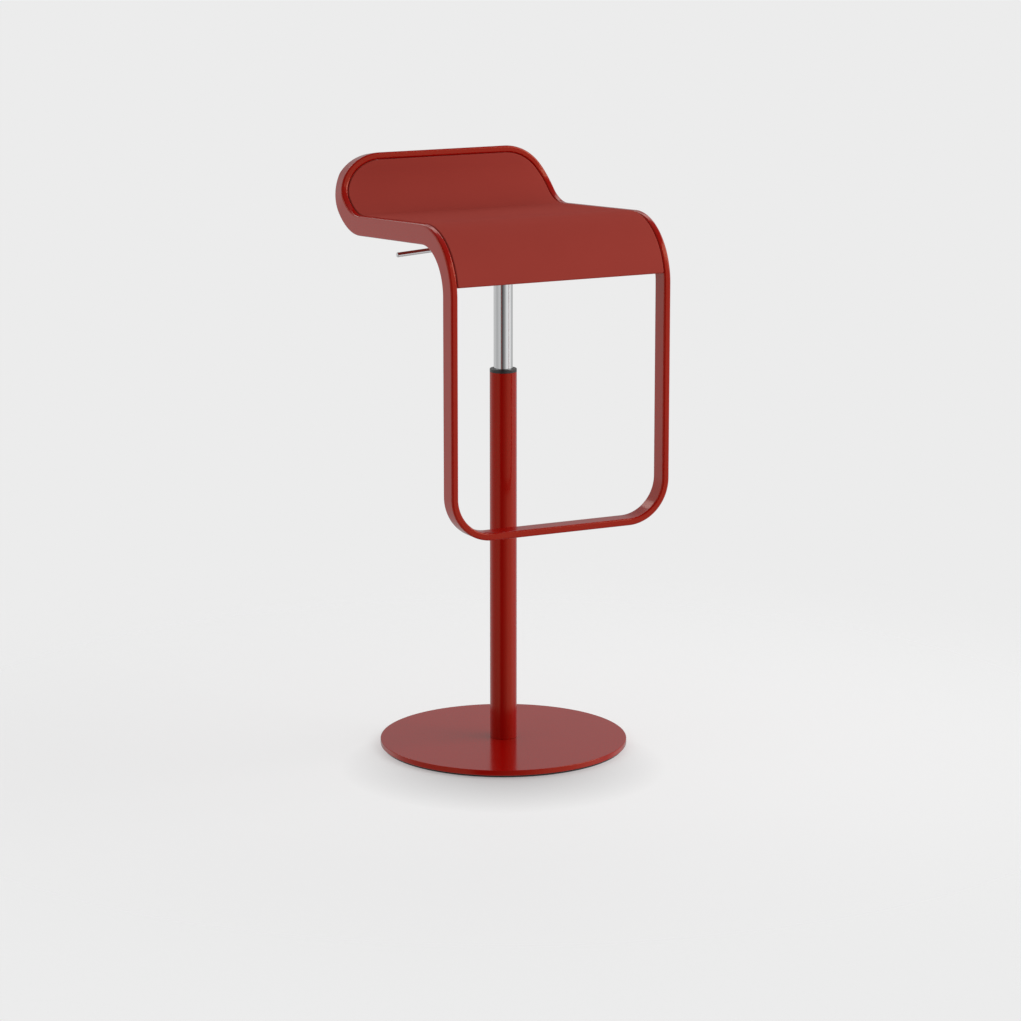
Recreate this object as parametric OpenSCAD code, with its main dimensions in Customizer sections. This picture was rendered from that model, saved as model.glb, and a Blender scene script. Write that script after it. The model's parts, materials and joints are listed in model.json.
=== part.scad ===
// Height-adjustable swivel bar stool. A round foot disc carries a slim column. A gas spring slides and turns
// in it, and lifts one closed loop of flat tube that is footrest, seat rim and back rim in one, with a formed
// panel set into its upper part.
//
// Millimetres. The origin is on the column's axis at floor level: +Z up, -Y to the front (the footrest), +X to
// the right as seen from the front.

/* [Foot] */
// Diameter of the foot disc
foot_d = 370; // [300:5:450]
// Thickness of the foot disc
foot_t = 8; // [6.5:0.1:12]
// Rounding of the foot disc's edges
foot_edge = 1; // [0.5:0.1:2.5]
// Thickness of the floor pad under the disc
pad_t = 3; // [2:0.1:5]
// How far the floor pad is set in from the disc's edge
pad_inset = 3; // [1:0.5:10]
// Thread diameter of the countersunk bolt that holds the column
foot_bolt_d = 12; // [8:1:12]
// Diameter of the dowels that stop the column from turning on the disc
dowel_d = 4; // [3:0.5:5]
// Length of the dowels, half in the disc and half in the column
dowel_l = 10; // [6:1:12]

/* [Column] */
// Outside diameter of the column tube
column_d = 40; // [38:1:60]
// Wall of the column tube
column_wall = 2.5; // [1.5:0.1:3]
// Height of the column tube's top above the floor
column_top_z = 568; // [540:1:600]
// Height of the plug in the column's lower end
foot_plug_h = 35; // [25:1:60]
// Height of the black collar that shows on top of the column
collar_h = 5; // [3:0.1:10]
// Length of the guide bush inside the column
bush_l = 85; // [50:1:110]
// Wall of the sleeve that stands on the plug and carries the anchor plate
sleeve_wall = 2; // [1.5:0.1:4]

/* [Gas spring] */
// Outside diameter of the chromed cylinder
cylinder_d = 28; // [26:0.5:34]
// Wall of the cylinder
cylinder_wall = 2; // [1.5:0.1:2.5]
// Travel of the seat between its highest and its lowest place
travel = 130; // [80:1:135]
// Diameter of the piston rod
rod_d = 10; // [8:0.5:12]
// Diameter of the rod's stepped lower end
rod_end_d = 8; // [6:0.5:8]
// Height of the anchor plate's underside above the floor
anchor_z = 300; // [200:1:330]
// Thickness of the anchor plate
anchor_t = 6; // [4:0.5:10]
// Diameter of the bearing balls
ball_d = 3; // [2:0.1:4]
// Number of bearing balls
ball_n = 10; // [8:1:12]
// Thickness of each bearing race
race_t = 2; // [1.5:0.1:3]
// Height of the rubber bump stop
bump_h = 12; // [6:1:20]
// Length of the cylinder's tapered top
taper_l = 46; // [30:1:60]
// How much narrower the cylinder's top end is than its body
taper_drop = 1.4; // [0.6:0.1:2]
// Length of the piston
piston_l = 12; // [8:1:20]
// Length of the end guide in the cylinder's lower end
end_guide_l = 22; // [15:1:30]
// Diameter of the valve button
button_d = 8; // [6:0.5:8]
// How far the valve button stands out of the cylinder's top
button_proud = 5; // [4:0.1:8]

/* [Loop] */
// Width of the loop over both legs
loop_w = 352; // [300:1:450]
// Width of the flat tube's narrow side, which faces forwards on the legs
tube_w = 10.5; // [8:0.1:16]
// Depth of the flat tube, from front to back on the legs
tube_d = 29.5; // [24:0.1:36]
// Rounding of the flat tube's long edges
tube_edge = 3; // [1.5:0.1:4]
// Wall of the flat tube
tube_wall = 1.5; // [1:0.1:2]
// Distance from the column's axis to the front face of the legs
legs_y = 188; // [170:1:230]
// Height of the footrest's underside above the floor
footrest_z = 361; // [320:1:400]
// Length of the legs below the front bend
leg_l = 350; // [300:1:420]
// Outside radius of the loop's lower corners
bottom_r = 65; // [40:1:90]
// Outside radius of the front bend, from the legs to the seat
front_r = 96; // [60:1:120]
// Length of the straight part of the seat, from front to back
seat_l = 212; // [190:1:260]
// Slope of the seat down to the back, in degrees
seat_drop = 3.5; // [0:0.1:6]
// Radius of the rear bend, from the seat to the back
back_r = 67.5; // [50:0.5:90]
// Lean of the back from upright, in degrees
back_lean = 9; // [0:0.5:15]
// Length of the straight part of the back above the bend
back_l = 26.5; // [20:0.5:60]
// Outside radius of the back's upper corners
top_r = 71; // [50:1:90]

/* [Seat panel] */
// Thickness of the panel
panel_t = 10; // [8:0.1:14]
// Gap between the panel's edge and the loop
panel_gap = 0.8; // [0.5:0.1:2]
// How far past the start of the front bend the panel's front edge lies
panel_start = 17; // [5:1:30]

/* [Under the seat] */
// Width of each cross rail, from front to back
rail_w = 36; // [30:1:45]
// Thickness of each cross rail
rail_t = 5; // [4:0.1:8]
// Distance between the two cross rails' centres
rail_pitch = 120; // [105:1:140]
// Distance between the panel screws in one cross rail
panel_screw_pitch = 200; // [130:1:240]
// Width of the mechanism tray's flange
tray_w = 114; // [112:1:130]
// Width of the mechanism tray's pan
pan_w = 94; // [94:1:98]
// Length of the mechanism tray's pan, from front to back
pan_l = 81; // [70:1:86]
// Sheet thickness of the mechanism tray
tray_t = 3; // [2:0.1:4]
// Distance between the tray screws in one cross rail
tray_screw_pitch = 84; // [60:1:90]
// Height of the taper socket
socket_h = 34; // [25:1:40]
// Wall of the taper socket
socket_wall = 5; // [3:0.5:6]
// Width of the ledges and tabs that hold the panel's ends
tab_w = 16; // [12:1:24]
// Thickness of the ledges and tabs
tab_t = 3; // [2:0.1:4]
// Distance from the loop's middle line to each back tab's centre
back_tab_x = 60; // [20:1:80]

/* [Lever] */
// Diameter of the release lever's rod
lever_d = 7; // [6:0.5:8]
// Distance from the column's axis to the lever's tip
lever_reach = 172; // [120:1:176]
// Slope of the lever down to its tip, in degrees
lever_droop = 3.9; // [0:0.1:6]
// Depth of the lever's axis below the seat's surface, at the column's axis
lever_depth = 38.5; // [36:0.1:44]
// Distance from the column's axis to the lever's pivot
pivot_x = 28; // [26:0.5:30]
// Diameter of the lever's pivot pin
pivot_d = 4; // [3:0.5:5]
// Width of the rocker that the lever's rod is fixed in
rocker_w = 14; // [11:0.5:16]
// Height of the rocker
rocker_h = 10; // [9:0.5:12]
// Thickness of the pivot bracket's sheet
ear_t = 3; // [2:0.1:4]

/* [Fits] */
// Radial clearance of a shaft that turns or slides in its bore
run_gap = 0.05; // [0.01:0.01:0.1]
// Radial clearance of a piece that is pressed or screwed in
seat_gap = 0.03; // [0.01:0.01:0.1]
// Radial clearance of a screw in a plain hole
hole_gap = 0.25; // [0.1:0.05:0.5]
// Gap between two faces that pass each other without touching
face_gap = 0.3; // [0.1:0.05:0.5]

/* [Hidden] */

$fn = 64;
cut = 1;                     // how far a cutting shape runs past what it cuts
red = "#8f3228";             // lacquer on the steel and on the panel
steel = "#b9bbbd";
dark_steel = "#5a5c5f";
chrome = "#d9dcde";
brass = "#c2a15a";
black = "#1b1b1c";
nylon = "#2a2b2d";

// Heights up the column and the gas spring
foot_top_z = pad_t + foot_t;
plug_top_z = foot_top_z + foot_plug_h;
collar_top_z = column_top_z + collar_h;
column_in_r = column_d / 2 - column_wall;
anchor_top_z = anchor_z + anchor_t;
ball_gap = 0.1;              // play above and below the balls
ball_z = anchor_top_z + race_t + ball_gap + ball_d / 2;
upper_race_z = anchor_top_z + race_t + 2 * ball_gap + ball_d;
upper_race_top_z = upper_race_z + race_t;
bump_top_z = upper_race_top_z + bump_h;
bump_clear = 3;              // left between the cylinder and the bump stop at the lowest place
cylinder_z = bump_top_z + travel + bump_clear;
cylinder_in_r = cylinder_d / 2 - cylinder_wall;
lip_h = 4;                   // rolled lip that holds the end guide in
lip_gap = 3;                 // between the lip and the rod
lip_in_r = rod_d / 2 + lip_gap;
end_guide_z = cylinder_z + lip_h;
rod_seal_z = end_guide_z + end_guide_l;
rod_seal_h = 6;
pressure_tube_z = rod_seal_z + rod_seal_h;
piston_clear = 3;            // left between the piston and the pressure tube's foot at the highest place
piston_z = pressure_tube_z + piston_clear;

// Bearing
race_r = 12;
ball_ring_r = 8.6;
cage_t = 1.6;
cage_in_r = 6.4;
cage_out_r = 11;

// Bolts: a countersunk head is twice its thread across, and its cone stands at 45 degrees
foot_bolt_l = 28;
foot_bolt_sunk = 0.4;        // how far the head lies under the disc's lower face
foot_bolt_head_h = foot_bolt_d / 2;
dowel_web = 5;               // metal left between the bolt and a dowel
dowel_ring_r = foot_bolt_d / 2 + dowel_d / 2 + dowel_web;
m4 = 4;
m5 = 5;
m6 = 6;
head_ratio = 0.95;           // radius of a pan head, as a share of its screw's diameter

// The loop's middle surface seen from the side: a line that runs up the front face of the legs, over the
// seat's top and up the front face of the back. "Along" is the distance on this line from the footrest.
along_bend = leg_l;
along_seat = along_bend + front_r * (90 + seat_drop) * PI / 180;
along_rear = along_seat + seat_l;
along_back = along_rear + back_r * (90 - back_lean + seat_drop) * PI / 180;
along_top = along_back + back_l;
front_centre = [front_r - legs_y, footrest_z + leg_l];
seat_start = front_centre + front_r * [sin(seat_drop), cos(seat_drop)];
rear_start = seat_start + seat_l * [cos(seat_drop), -sin(seat_drop)];
rear_centre = rear_start + back_r * [sin(seat_drop), cos(seat_drop)];
back_start = rear_centre + back_r * [cos(back_lean), -sin(back_lean)];
along_axis = along_seat - seat_start[0] / cos(seat_drop);
along_weld = along_seat + seat_l / 2;
seat_axis_z = spot(along_axis)[1];

// Direction of the line at a distance along it: 90 is straight up, 0 is straight back
function heading(s) =
    s < along_bend ? 90 :
    s < along_seat ? 90 - (s - along_bend) / front_r * 180 / PI :
    s < along_rear ? -seat_drop :
    s < along_back ? (s - along_rear) / back_r * 180 / PI - seat_drop :
    90 - back_lean;

// The point [y, z] at a distance along the line
function spot(s) =
    let (t = heading(s))
    s < along_bend ? [-legs_y, footrest_z + s] :
    s < along_seat ? front_centre + front_r * [-sin(t), cos(t)] :
    s < along_rear ? seat_start + (s - along_seat) * [cos(t), sin(t)] :
    s < along_back ? rear_centre - back_r * [-sin(t), cos(t)] :
    back_start + (s - along_back) * [cos(t), sin(t)];

// A point of the loop or the panel: across, along, and out of the surface
function on_line(u, s, n) =
    let (t = heading(s), p = spot(s))
    [u, p[0] - n * sin(t), p[1] + n * cos(t)];

// Lever and valve, from the lever's axis at the column's axis downwards
lever_z = seat_axis_z - lever_depth;
pivot_z = lever_z - pivot_x * tan(lever_droop);
button_top_z = lever_z - rocker_h / 2 - button_d / 2 * tan(lever_droop) - face_gap;
cylinder_top_z = button_top_z - button_proud;
cap_t = 6;                   // closed top of the cylinder round the valve button
valve_block_h = 26;
valve_block_z = cylinder_top_z - cap_t - valve_block_h;
taper_z = cylinder_top_z - taper_l;
socket_drop = 2;             // how far the cylinder's top stands out of the socket
socket_top_z = cylinder_top_z - socket_drop;
socket_z = socket_top_z - socket_h;
socket_r = cylinder_d / 2 + socket_wall;

// Under the panel, as depths below the seat's surface
rail_depth = panel_t + rail_t;
rocker_clear = 13.5;         // between the rocker and the tray's floor
pan_depth = lever_depth + rocker_h / 2 + rocker_clear;
inner_half_w = loop_w / 2 - tube_w;
rail_along = [along_axis - rail_pitch / 2, along_axis + rail_pitch / 2];
tray_l = rail_pitch + rail_w;
tray_corner_r = 8;
panel_skin = 2;              // left of the panel above its blind holes
insert_l = panel_t - panel_skin;
insert_wall = 1.5;
ledge_inset = 22;            // from the panel's front edge to its front screws
ledge_along = along_bend + panel_start + ledge_inset;
back_screw_along = along_top - tube_w - tab_w / 2;

// Radius at a height of the cylinder's tapered top
function taper_r(z) = cylinder_d / 2 - taper_drop / 2 * (z - taper_z) / taper_l;

// Steps of the swept shapes
bend_steps = 14;
panel_steps = 36;
corner_steps = 12;
edge_steps = 3;
least_edge = 0.5;            // the tube's inner edges are never sharper than this

// A station of the loop's path: [across, along, inward across, inward along]
function on_side(side, s) = [side * loop_w / 2, s, -side, 0];

function on_corner(side, r, centre_s, a) =
    [side * (loop_w / 2 - r + r * cos(a)), centre_s + r * sin(a), -side * cos(a), -sin(a)];

// Cross-section of the flat tube, counter-clockwise: [inward, out of the surface]
function tube_section(inset, r) =
    let (near = inset + r, far_w = tube_w - inset - r, far_d = inset + r - tube_d)
    [for (corner = [[far_w, -near, 0], [near, -near, 90], [near, far_d, 180], [far_w, far_d, 270]])
        for (i = [0 : edge_steps])
            let (a = corner[2] + 90 * i / edge_steps)
            [corner[0] + r * cos(a), corner[1] + r * sin(a)]];

function tube_ring(station, section) =
    [for (p = section) on_line(station[0] + p[0] * station[2], station[1] + p[0] * station[3], p[1])];

// Distances along the line at which a bend gets a ring, both ends included
function along_steps(from, to, n) = [for (i = [0 : n]) from + (to - from) * i / n];

footrest_half = concat(
    [on_side(1, along_weld)],
    [for (s = along_steps(along_seat, along_bend, bend_steps)) on_side(1, s)],
    [for (i = [0 : corner_steps]) on_corner(1, bottom_r, bottom_r, -90 * i / corner_steps)]
);
back_half = concat(
    [on_side(1, along_weld)],
    [for (s = along_steps(along_rear, along_top - top_r, bend_steps)) on_side(1, s)],
    [for (i = [1 : corner_steps]) on_corner(1, top_r, along_top - top_r, 90 * i / corner_steps)]
);

function other_side(half) = [for (st = half) [-st[0], st[1], -st[2], st[3]]];

function backwards(list) = [for (i = [len(list) - 1 : -1 : 0]) list[i]];

// Half width of the panel at each of its stations: [along, half width]
panel_corner_r = top_r - tube_w - panel_gap;
panel_half_w = inner_half_w - panel_gap;
panel_along = along_bend + panel_start;
panel_stations = concat(
    [for (s = along_steps(panel_along, along_seat, panel_steps)) [s, panel_half_w]],
    [for (s = along_steps(along_rear, along_top - top_r, panel_steps)) [s, panel_half_w]],
    [for (i = [1 : panel_steps])
        let (a = 90 * i / panel_steps)
        [along_top - top_r + panel_corner_r * sin(a), loop_w / 2 - top_r + panel_corner_r * cos(a)]]
);

// Two triangles between four points of a swept surface
function patch(a, b, c, d) = [[a, b, c], [a, c, d]];

module at_z(z) {
    translate([0, 0, z]) children();
}

// Places a shape on the seat's surface: its +Y runs along the line, its +Z out of the surface
module on_surface(u, s) {
    translate([u, spot(s)[0], spot(s)[1]]) rotate([heading(s), 0, 0]) children();
}

module ring(outer_r, inner_r, h) {
    difference() {
        cylinder(r = outer_r, h = h);
        at_z(-cut) cylinder(r = inner_r, h = h + 2 * cut);
    }
}

// Half outline of a disc whose upper and lower edges are rounded, for turning about the axis
module edged_half(r, h, edge) {
    translate([0, edge]) square([r, h - 2 * edge]);
    square([r - edge, h]);
    translate([r - edge, edge]) circle(r = edge);
    translate([r - edge, h - edge]) circle(r = edge);
}

module rounded_outline(w, l, r) {
    square([w - 2 * r, l], center = true);
    square([w, l - 2 * r], center = true);
    for (x = [-1, 1], y = [-1, 1])
        translate([x * (w / 2 - r), y * (l / 2 - r)]) circle(r = r);
}

// Pan-head screw that points up, with its head's underside at z = 0 and a six-sided socket in the head
module pan_screw(d, l) {
    head_r = d * head_ratio;
    head_h = d * 0.6;
    key_d = d * 0.6;
    key_h = head_h / 2;
    cylinder(d = d, h = l);
    difference() {
        at_z(-head_h) cylinder(r = head_r, h = head_h);
        at_z(-head_h - cut) cylinder(d = key_d, h = key_h + cut, $fn = 6);
    }
}

// A hollow tube swept through stations, open at both ends
module swept_tube(stations) {
    outer = tube_section(0, tube_edge);
    inner = tube_section(tube_wall, max(tube_edge - tube_wall, least_edge));
    m = len(outer);
    k = len(stations);
    points = concat(
        [for (st = stations) each tube_ring(st, outer)],
        [for (st = stations) each tube_ring(st, inner)]
    );
    inside = k * m;
    faces = concat(
        [for (i = [0 : k - 2], j = [0 : m - 1])
            let (n = (j + 1) % m, a = i * m, b = (i + 1) * m)
            each concat(
                patch(a + j, a + n, b + n, b + j),
                patch(inside + a + n, inside + a + j, inside + b + j, inside + b + n)
            )],
        [for (j = [0 : m - 1])
            let (n = (j + 1) % m, b = (k - 1) * m)
            each concat(
                patch(n, j, inside + j, inside + n),
                patch(b + j, b + n, inside + b + n, inside + b + j)
            )]
    );
    polyhedron(points = points, faces = faces, convexity = 8);
}

// ---- foot and column

module floor_pad() {
    color(black) cylinder(r = foot_d / 2 - pad_inset, h = pad_t);
}

module foot_disc() {
    color(red) difference() {
        at_z(pad_t) rotate_extrude() edged_half(foot_d / 2, foot_t, foot_edge);
        at_z(pad_t - cut) cylinder(r = foot_bolt_d / 2 + hole_gap, h = foot_t + 2 * cut);
        at_z(pad_t - cut) cylinder(r = foot_bolt_d + hole_gap, h = foot_bolt_sunk + cut);
        at_z(pad_t + foot_bolt_sunk)
            cylinder(r1 = foot_bolt_d + hole_gap, r2 = foot_bolt_d / 2 + hole_gap, h = foot_bolt_head_h);
        dowel_holes();
    }
}

module foot_bolt() {
    key_d = foot_bolt_d * 0.7;
    key_h = foot_bolt_head_h * 0.6;
    color(steel) difference() {
        at_z(pad_t + foot_bolt_sunk) {
            cylinder(r1 = foot_bolt_d, r2 = foot_bolt_d / 2, h = foot_bolt_head_h);
            cylinder(d = foot_bolt_d, h = foot_bolt_l);
        }
        at_z(pad_t + foot_bolt_sunk - cut) cylinder(d = key_d, h = key_h + cut, $fn = 6);
    }
}

module dowels(gap) {
    for (side = [-1, 1])
        translate([side * dowel_ring_r, 0, foot_top_z - dowel_l / 2 - gap])
            cylinder(r = dowel_d / 2 + gap, h = dowel_l + 2 * gap);
}

module dowel_holes() {
    dowels(seat_gap);
}

module foot_dowels() {
    color(steel) dowels(0);
}

module column_foot_plug() {
    color(dark_steel) difference() {
        at_z(foot_top_z) cylinder(r = column_in_r - seat_gap, h = foot_plug_h);
        at_z(foot_top_z - cut) cylinder(r = foot_bolt_d / 2 + seat_gap, h = foot_bolt_l + cut);
        dowel_holes();
    }
}

module column_tube() {
    color(red) at_z(foot_top_z) ring(column_d / 2, column_in_r, column_top_z - foot_top_z);
}

module support_sleeve() {
    sleeve_r = column_in_r - seat_gap;
    color(dark_steel) at_z(plug_top_z) ring(sleeve_r, sleeve_r - sleeve_wall, anchor_z - plug_top_z);
}

module anchor_plate() {
    color(dark_steel) at_z(anchor_z) ring(column_in_r - seat_gap, rod_end_d / 2 + run_gap, anchor_t);
}

module guide_bush() {
    bore_r = cylinder_d / 2 + run_gap;
    lip_r = 1.2;
    color(nylon) difference() {
        union() {
            at_z(column_top_z - bush_l) cylinder(r = column_in_r - seat_gap, h = bush_l + cut);
            at_z(column_top_z) rotate_extrude() {
                square([column_d / 2, collar_h - lip_r]);
                square([column_d / 2 - lip_r, collar_h]);
                translate([column_d / 2 - lip_r, collar_h - lip_r]) circle(r = lip_r);
            }
        }
        at_z(column_top_z - bush_l - cut) cylinder(r = bore_r, h = bush_l + collar_h + 2 * cut);
    }
}

// ---- thrust bearing

module bearing_lower_race() {
    color(steel) at_z(anchor_top_z) ring(race_r, rod_end_d / 2 + face_gap, race_t);
}

module bearing_upper_race() {
    color(steel) at_z(upper_race_z) ring(race_r, rod_end_d / 2 + seat_gap, race_t);
}

module ball_places() {
    for (i = [0 : ball_n - 1])
        rotate([0, 0, i * 360 / ball_n]) translate([ball_ring_r, 0, ball_z]) children();
}

module ball_cage() {
    color(brass) difference() {
        at_z(ball_z - cage_t / 2) ring(cage_out_r, cage_in_r, cage_t);
        ball_places() cylinder(r = ball_d / 2 + run_gap, h = cage_t + 2 * cut, center = true);
    }
}

module bearing_balls() {
    color(chrome) ball_places() sphere(d = ball_d, $fn = 32);
}

// ---- rod and piston

rod_neck_d = rod_d * 0.6;    // the rod's upper end, which the piston is riveted on
rivet_h = 2;                 // how far that end stands out of the piston
rod_tail = 3;                // how far the rod's lower end stands out of its clip
clip_t = 1.2;
clip_groove_d = rod_end_d - 1.6;
rod_washer_t = 1.5;
rod_washer_z = anchor_z - face_gap - rod_washer_t;
rod_clip_z = rod_washer_z - clip_t;
rod_foot_z = rod_clip_z - rod_tail;

module piston_rod() {
    color(chrome) difference() {
        union() {
            at_z(rod_foot_z) cylinder(d = rod_end_d, h = upper_race_top_z - rod_foot_z);
            at_z(upper_race_top_z) cylinder(d = rod_d, h = piston_z - upper_race_top_z);
            at_z(piston_z) cylinder(d = rod_neck_d, h = piston_l + rivet_h);
        }
        at_z(rod_clip_z) ring(rod_d, clip_groove_d / 2, clip_t);
    }
}

oil_gap = 1;                 // between the cylinder and the pressure tube
pressure_wall = 1.2;
piston_r = cylinder_in_r - oil_gap - pressure_wall;
seal_h = 4;
seal_depth = 2;

module piston() {
    color(dark_steel) difference() {
        at_z(piston_z) cylinder(r = piston_r - 2 * run_gap, h = piston_l);
        at_z(piston_z - cut) cylinder(r = rod_neck_d / 2 + seat_gap, h = piston_l + 2 * cut);
        at_z(piston_z + (piston_l - seal_h) / 2) ring(piston_r + cut, piston_r - seal_depth, seal_h);
    }
}

module piston_seal() {
    color(black) at_z(piston_z + (piston_l - seal_h) / 2)
        ring(piston_r - run_gap, piston_r - seal_depth + seat_gap, seal_h);
}

module bump_stop() {
    bump_edge = 2;
    color(black) difference() {
        at_z(upper_race_top_z) rotate_extrude() edged_half(race_r - 1, bump_h, bump_edge);
        at_z(upper_race_top_z - cut) cylinder(r = rod_d / 2 + seat_gap, h = bump_h + 2 * cut);
    }
}

module rod_washer() {
    color(steel) at_z(rod_washer_z) ring(rod_end_d, rod_end_d / 2 + seat_gap, rod_washer_t);
}

module rod_clip() {
    clip_rim = 2.2;
    color(dark_steel) at_z(rod_clip_z) difference() {
        ring(rod_end_d / 2 + clip_rim, clip_groove_d / 2 + seat_gap, clip_t);
        translate([0, -clip_groove_d * 0.3, -cut]) cube([rod_end_d, clip_groove_d * 0.6, clip_t + 2 * cut]);
    }
}

// ---- gas cylinder

module gas_cylinder() {
    chamfer = 1;
    button_bore_r = button_d / 2 + run_gap;
    color(chrome) rotate_extrude() polygon([
        [lip_in_r, cylinder_z],
        [cylinder_d / 2 - chamfer, cylinder_z],
        [cylinder_d / 2, cylinder_z + chamfer],
        [cylinder_d / 2, taper_z],
        [taper_r(cylinder_top_z - chamfer), cylinder_top_z - chamfer],
        [taper_r(cylinder_top_z) - chamfer, cylinder_top_z],
        [button_bore_r, cylinder_top_z],
        [button_bore_r, cylinder_top_z - cap_t],
        [cylinder_in_r, cylinder_top_z - cap_t],
        [cylinder_in_r, cylinder_z + lip_h],
        [lip_in_r, cylinder_z + lip_h]
    ]);
}

module pressure_tube() {
    color(steel) at_z(pressure_tube_z)
        ring(cylinder_in_r - oil_gap, piston_r, valve_block_z - pressure_tube_z);
}

module end_guide() {
    color(nylon) at_z(end_guide_z) ring(cylinder_in_r - seat_gap, rod_d / 2 + run_gap, end_guide_l);
}

module rod_seal() {
    color(black) at_z(rod_seal_z) ring(cylinder_in_r - seat_gap, rod_d / 2 + run_gap, rod_seal_h);
}

module valve_block() {
    color(brass) at_z(valve_block_z) ring(cylinder_in_r - seat_gap, button_d / 2 + run_gap, valve_block_h);
}

module taper_socket() {
    chamfer = 1.5;
    low_r = taper_r(socket_z) + seat_gap;
    top_r = taper_r(socket_top_z) + seat_gap;
    color(dark_steel) rotate_extrude() polygon([
        [low_r, socket_z],
        [socket_r - chamfer, socket_z],
        [socket_r, socket_z + chamfer],
        [socket_r, socket_top_z],
        [top_r, socket_top_z]
    ]);
}

// ---- mechanism under the seat

module tray_screw_places() {
    for (s = rail_along, side = [-1, 1])
        on_surface(side * tray_screw_pitch / 2, s) at_z(-rail_depth - tray_t) children();
}

module panel_screw_places() {
    for (s = rail_along, side = [-1, 1])
        on_surface(side * panel_screw_pitch / 2, s) at_z(-rail_depth) children();
}

// The lever's slot in the tray's left wall, wide enough for the rod's whole swing
module lever_slot() {
    side_room = 2;
    swing_room = 4;
    translate([-pan_w / 2 - cut, -lever_d / 2 - side_room, pivot_z - lever_d / 2 - swing_room])
        cube([tray_t + 2 * cut, lever_d + 2 * side_room, lever_d + 2 * swing_room]);
}

module mechanism_tray() {
    color(dark_steel) difference() {
        on_surface(0, along_axis) {
            at_z(-rail_depth - tray_t) linear_extrude(tray_t) difference() {
                rounded_outline(tray_w, tray_l, tray_corner_r);
                square([pan_w - 2 * tray_t, pan_l - 2 * tray_t], center = true);
            }
            at_z(-pan_depth) linear_extrude(pan_depth - rail_depth) difference() {
                rounded_outline(pan_w, pan_l, tray_corner_r);
                rounded_outline(pan_w - 2 * tray_t, pan_l - 2 * tray_t, tray_corner_r - tray_t);
            }
            at_z(-pan_depth - tray_t) linear_extrude(tray_t) rounded_outline(pan_w, pan_l, tray_corner_r);
        }
        at_z(socket_z) cylinder(r = socket_r + seat_gap, h = socket_h);
        tray_screw_places() at_z(-cut) cylinder(r = m6 / 2 + hole_gap, h = tray_t + 2 * cut);
        lever_slot();
    }
}

module tray_screws() {
    color(steel) tray_screw_places() pan_screw(m6, tray_t + rail_t);
}

module cross_rail(s) {
    color(red) difference() {
        on_surface(0, s) translate([-inner_half_w, -rail_w / 2, -rail_depth])
            cube([2 * inner_half_w, rail_w, rail_t]);
        tray_screw_places() cylinder(r = m6 / 2 + seat_gap, h = tray_t + rail_t + cut);
        panel_screw_places() at_z(-cut) cylinder(r = m5 / 2 + hole_gap, h = rail_t + 2 * cut);
    }
}

module front_rail() {
    cross_rail(rail_along[0]);
}

module rear_rail() {
    cross_rail(rail_along[1]);
}

ear_in_y = rocker_w / 2 + face_gap;
ear_out_y = ear_in_y + ear_t;
ear_half_x = 5;

// Two ears and the strap that joins them, cut off along the tray's sloped floor
module lever_bracket() {
    strap_h = 2;
    strap_w = 2 * ear_half_x - 3;
    blank = 30;              // bigger than the bracket, for the shapes that are cut off
    color(dark_steel) difference() {
        union() {
            for (side = [-1, 1])
                translate([-pivot_x - ear_half_x, side * (ear_in_y + ear_t / 2) - ear_t / 2, pivot_z - blank])
                    cube([2 * ear_half_x, ear_t, blank]);
            for (side = [-1, 1])
                translate([-pivot_x, side * (ear_in_y + ear_t / 2), pivot_z])
                    rotate([90, 0, 0]) cylinder(r = ear_half_x, h = ear_t, center = true);
            difference() {
                translate([-pivot_x - ear_half_x, -ear_out_y, pivot_z - blank])
                    cube([strap_w, 2 * ear_out_y, blank]);
                on_surface(-pivot_x, along_axis) translate([-blank, -blank, strap_h - pan_depth])
                    cube(2 * blank);
            }
        }
        on_surface(-pivot_x, along_axis) translate([-blank, -blank, -pan_depth - 2 * blank]) cube(2 * blank);
        translate([-pivot_x, 0, pivot_z]) rotate([90, 0, 0])
            cylinder(r = pivot_d / 2 + seat_gap, h = 2 * ear_out_y + 2 * cut, center = true);
    }
}

pin_groove_depth = 0.6;
pin_clip_t = 0.8;
pin_clip_play = 0.2;
pin_tail = 1.5;              // how far the pin stands out of its clip
pin_clip_y = ear_out_y + pin_clip_play;
pin_end_y = pin_clip_y + pin_clip_t + pin_tail;

module pivot_pin() {
    head_t = 1.5;
    head_rim = 1.3;
    color(steel) translate([-pivot_x, 0, pivot_z]) rotate([-90, 0, 0]) difference() {
        union() {
            at_z(-ear_out_y - head_t) cylinder(r = pivot_d / 2 + head_rim, h = head_t);
            at_z(-ear_out_y) cylinder(d = pivot_d, h = ear_out_y + pin_end_y);
        }
        at_z(pin_clip_y) ring(pivot_d, pivot_d / 2 - pin_groove_depth, pin_clip_t);
    }
}

module pivot_clip() {
    clip_rim = 1.5;
    hole_r = pivot_d / 2 - pin_groove_depth + seat_gap;
    color(dark_steel) translate([-pivot_x, 0, pivot_z]) rotate([-90, 0, 0]) at_z(pin_clip_y) difference() {
        ring(pivot_d / 2 + clip_rim, hole_r, pin_clip_t);
        translate([0, -hole_r * 0.7, -cut]) cube([pivot_d, hole_r * 1.4, pin_clip_t + 2 * cut]);
    }
}

// ---- loop

module footrest_tube() {
    color(red) swept_tube(concat(footrest_half, backwards(other_side(footrest_half))));
}

module back_rim_tube() {
    color(red) swept_tube(concat(other_side(back_half), backwards(back_half)));
}

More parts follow.
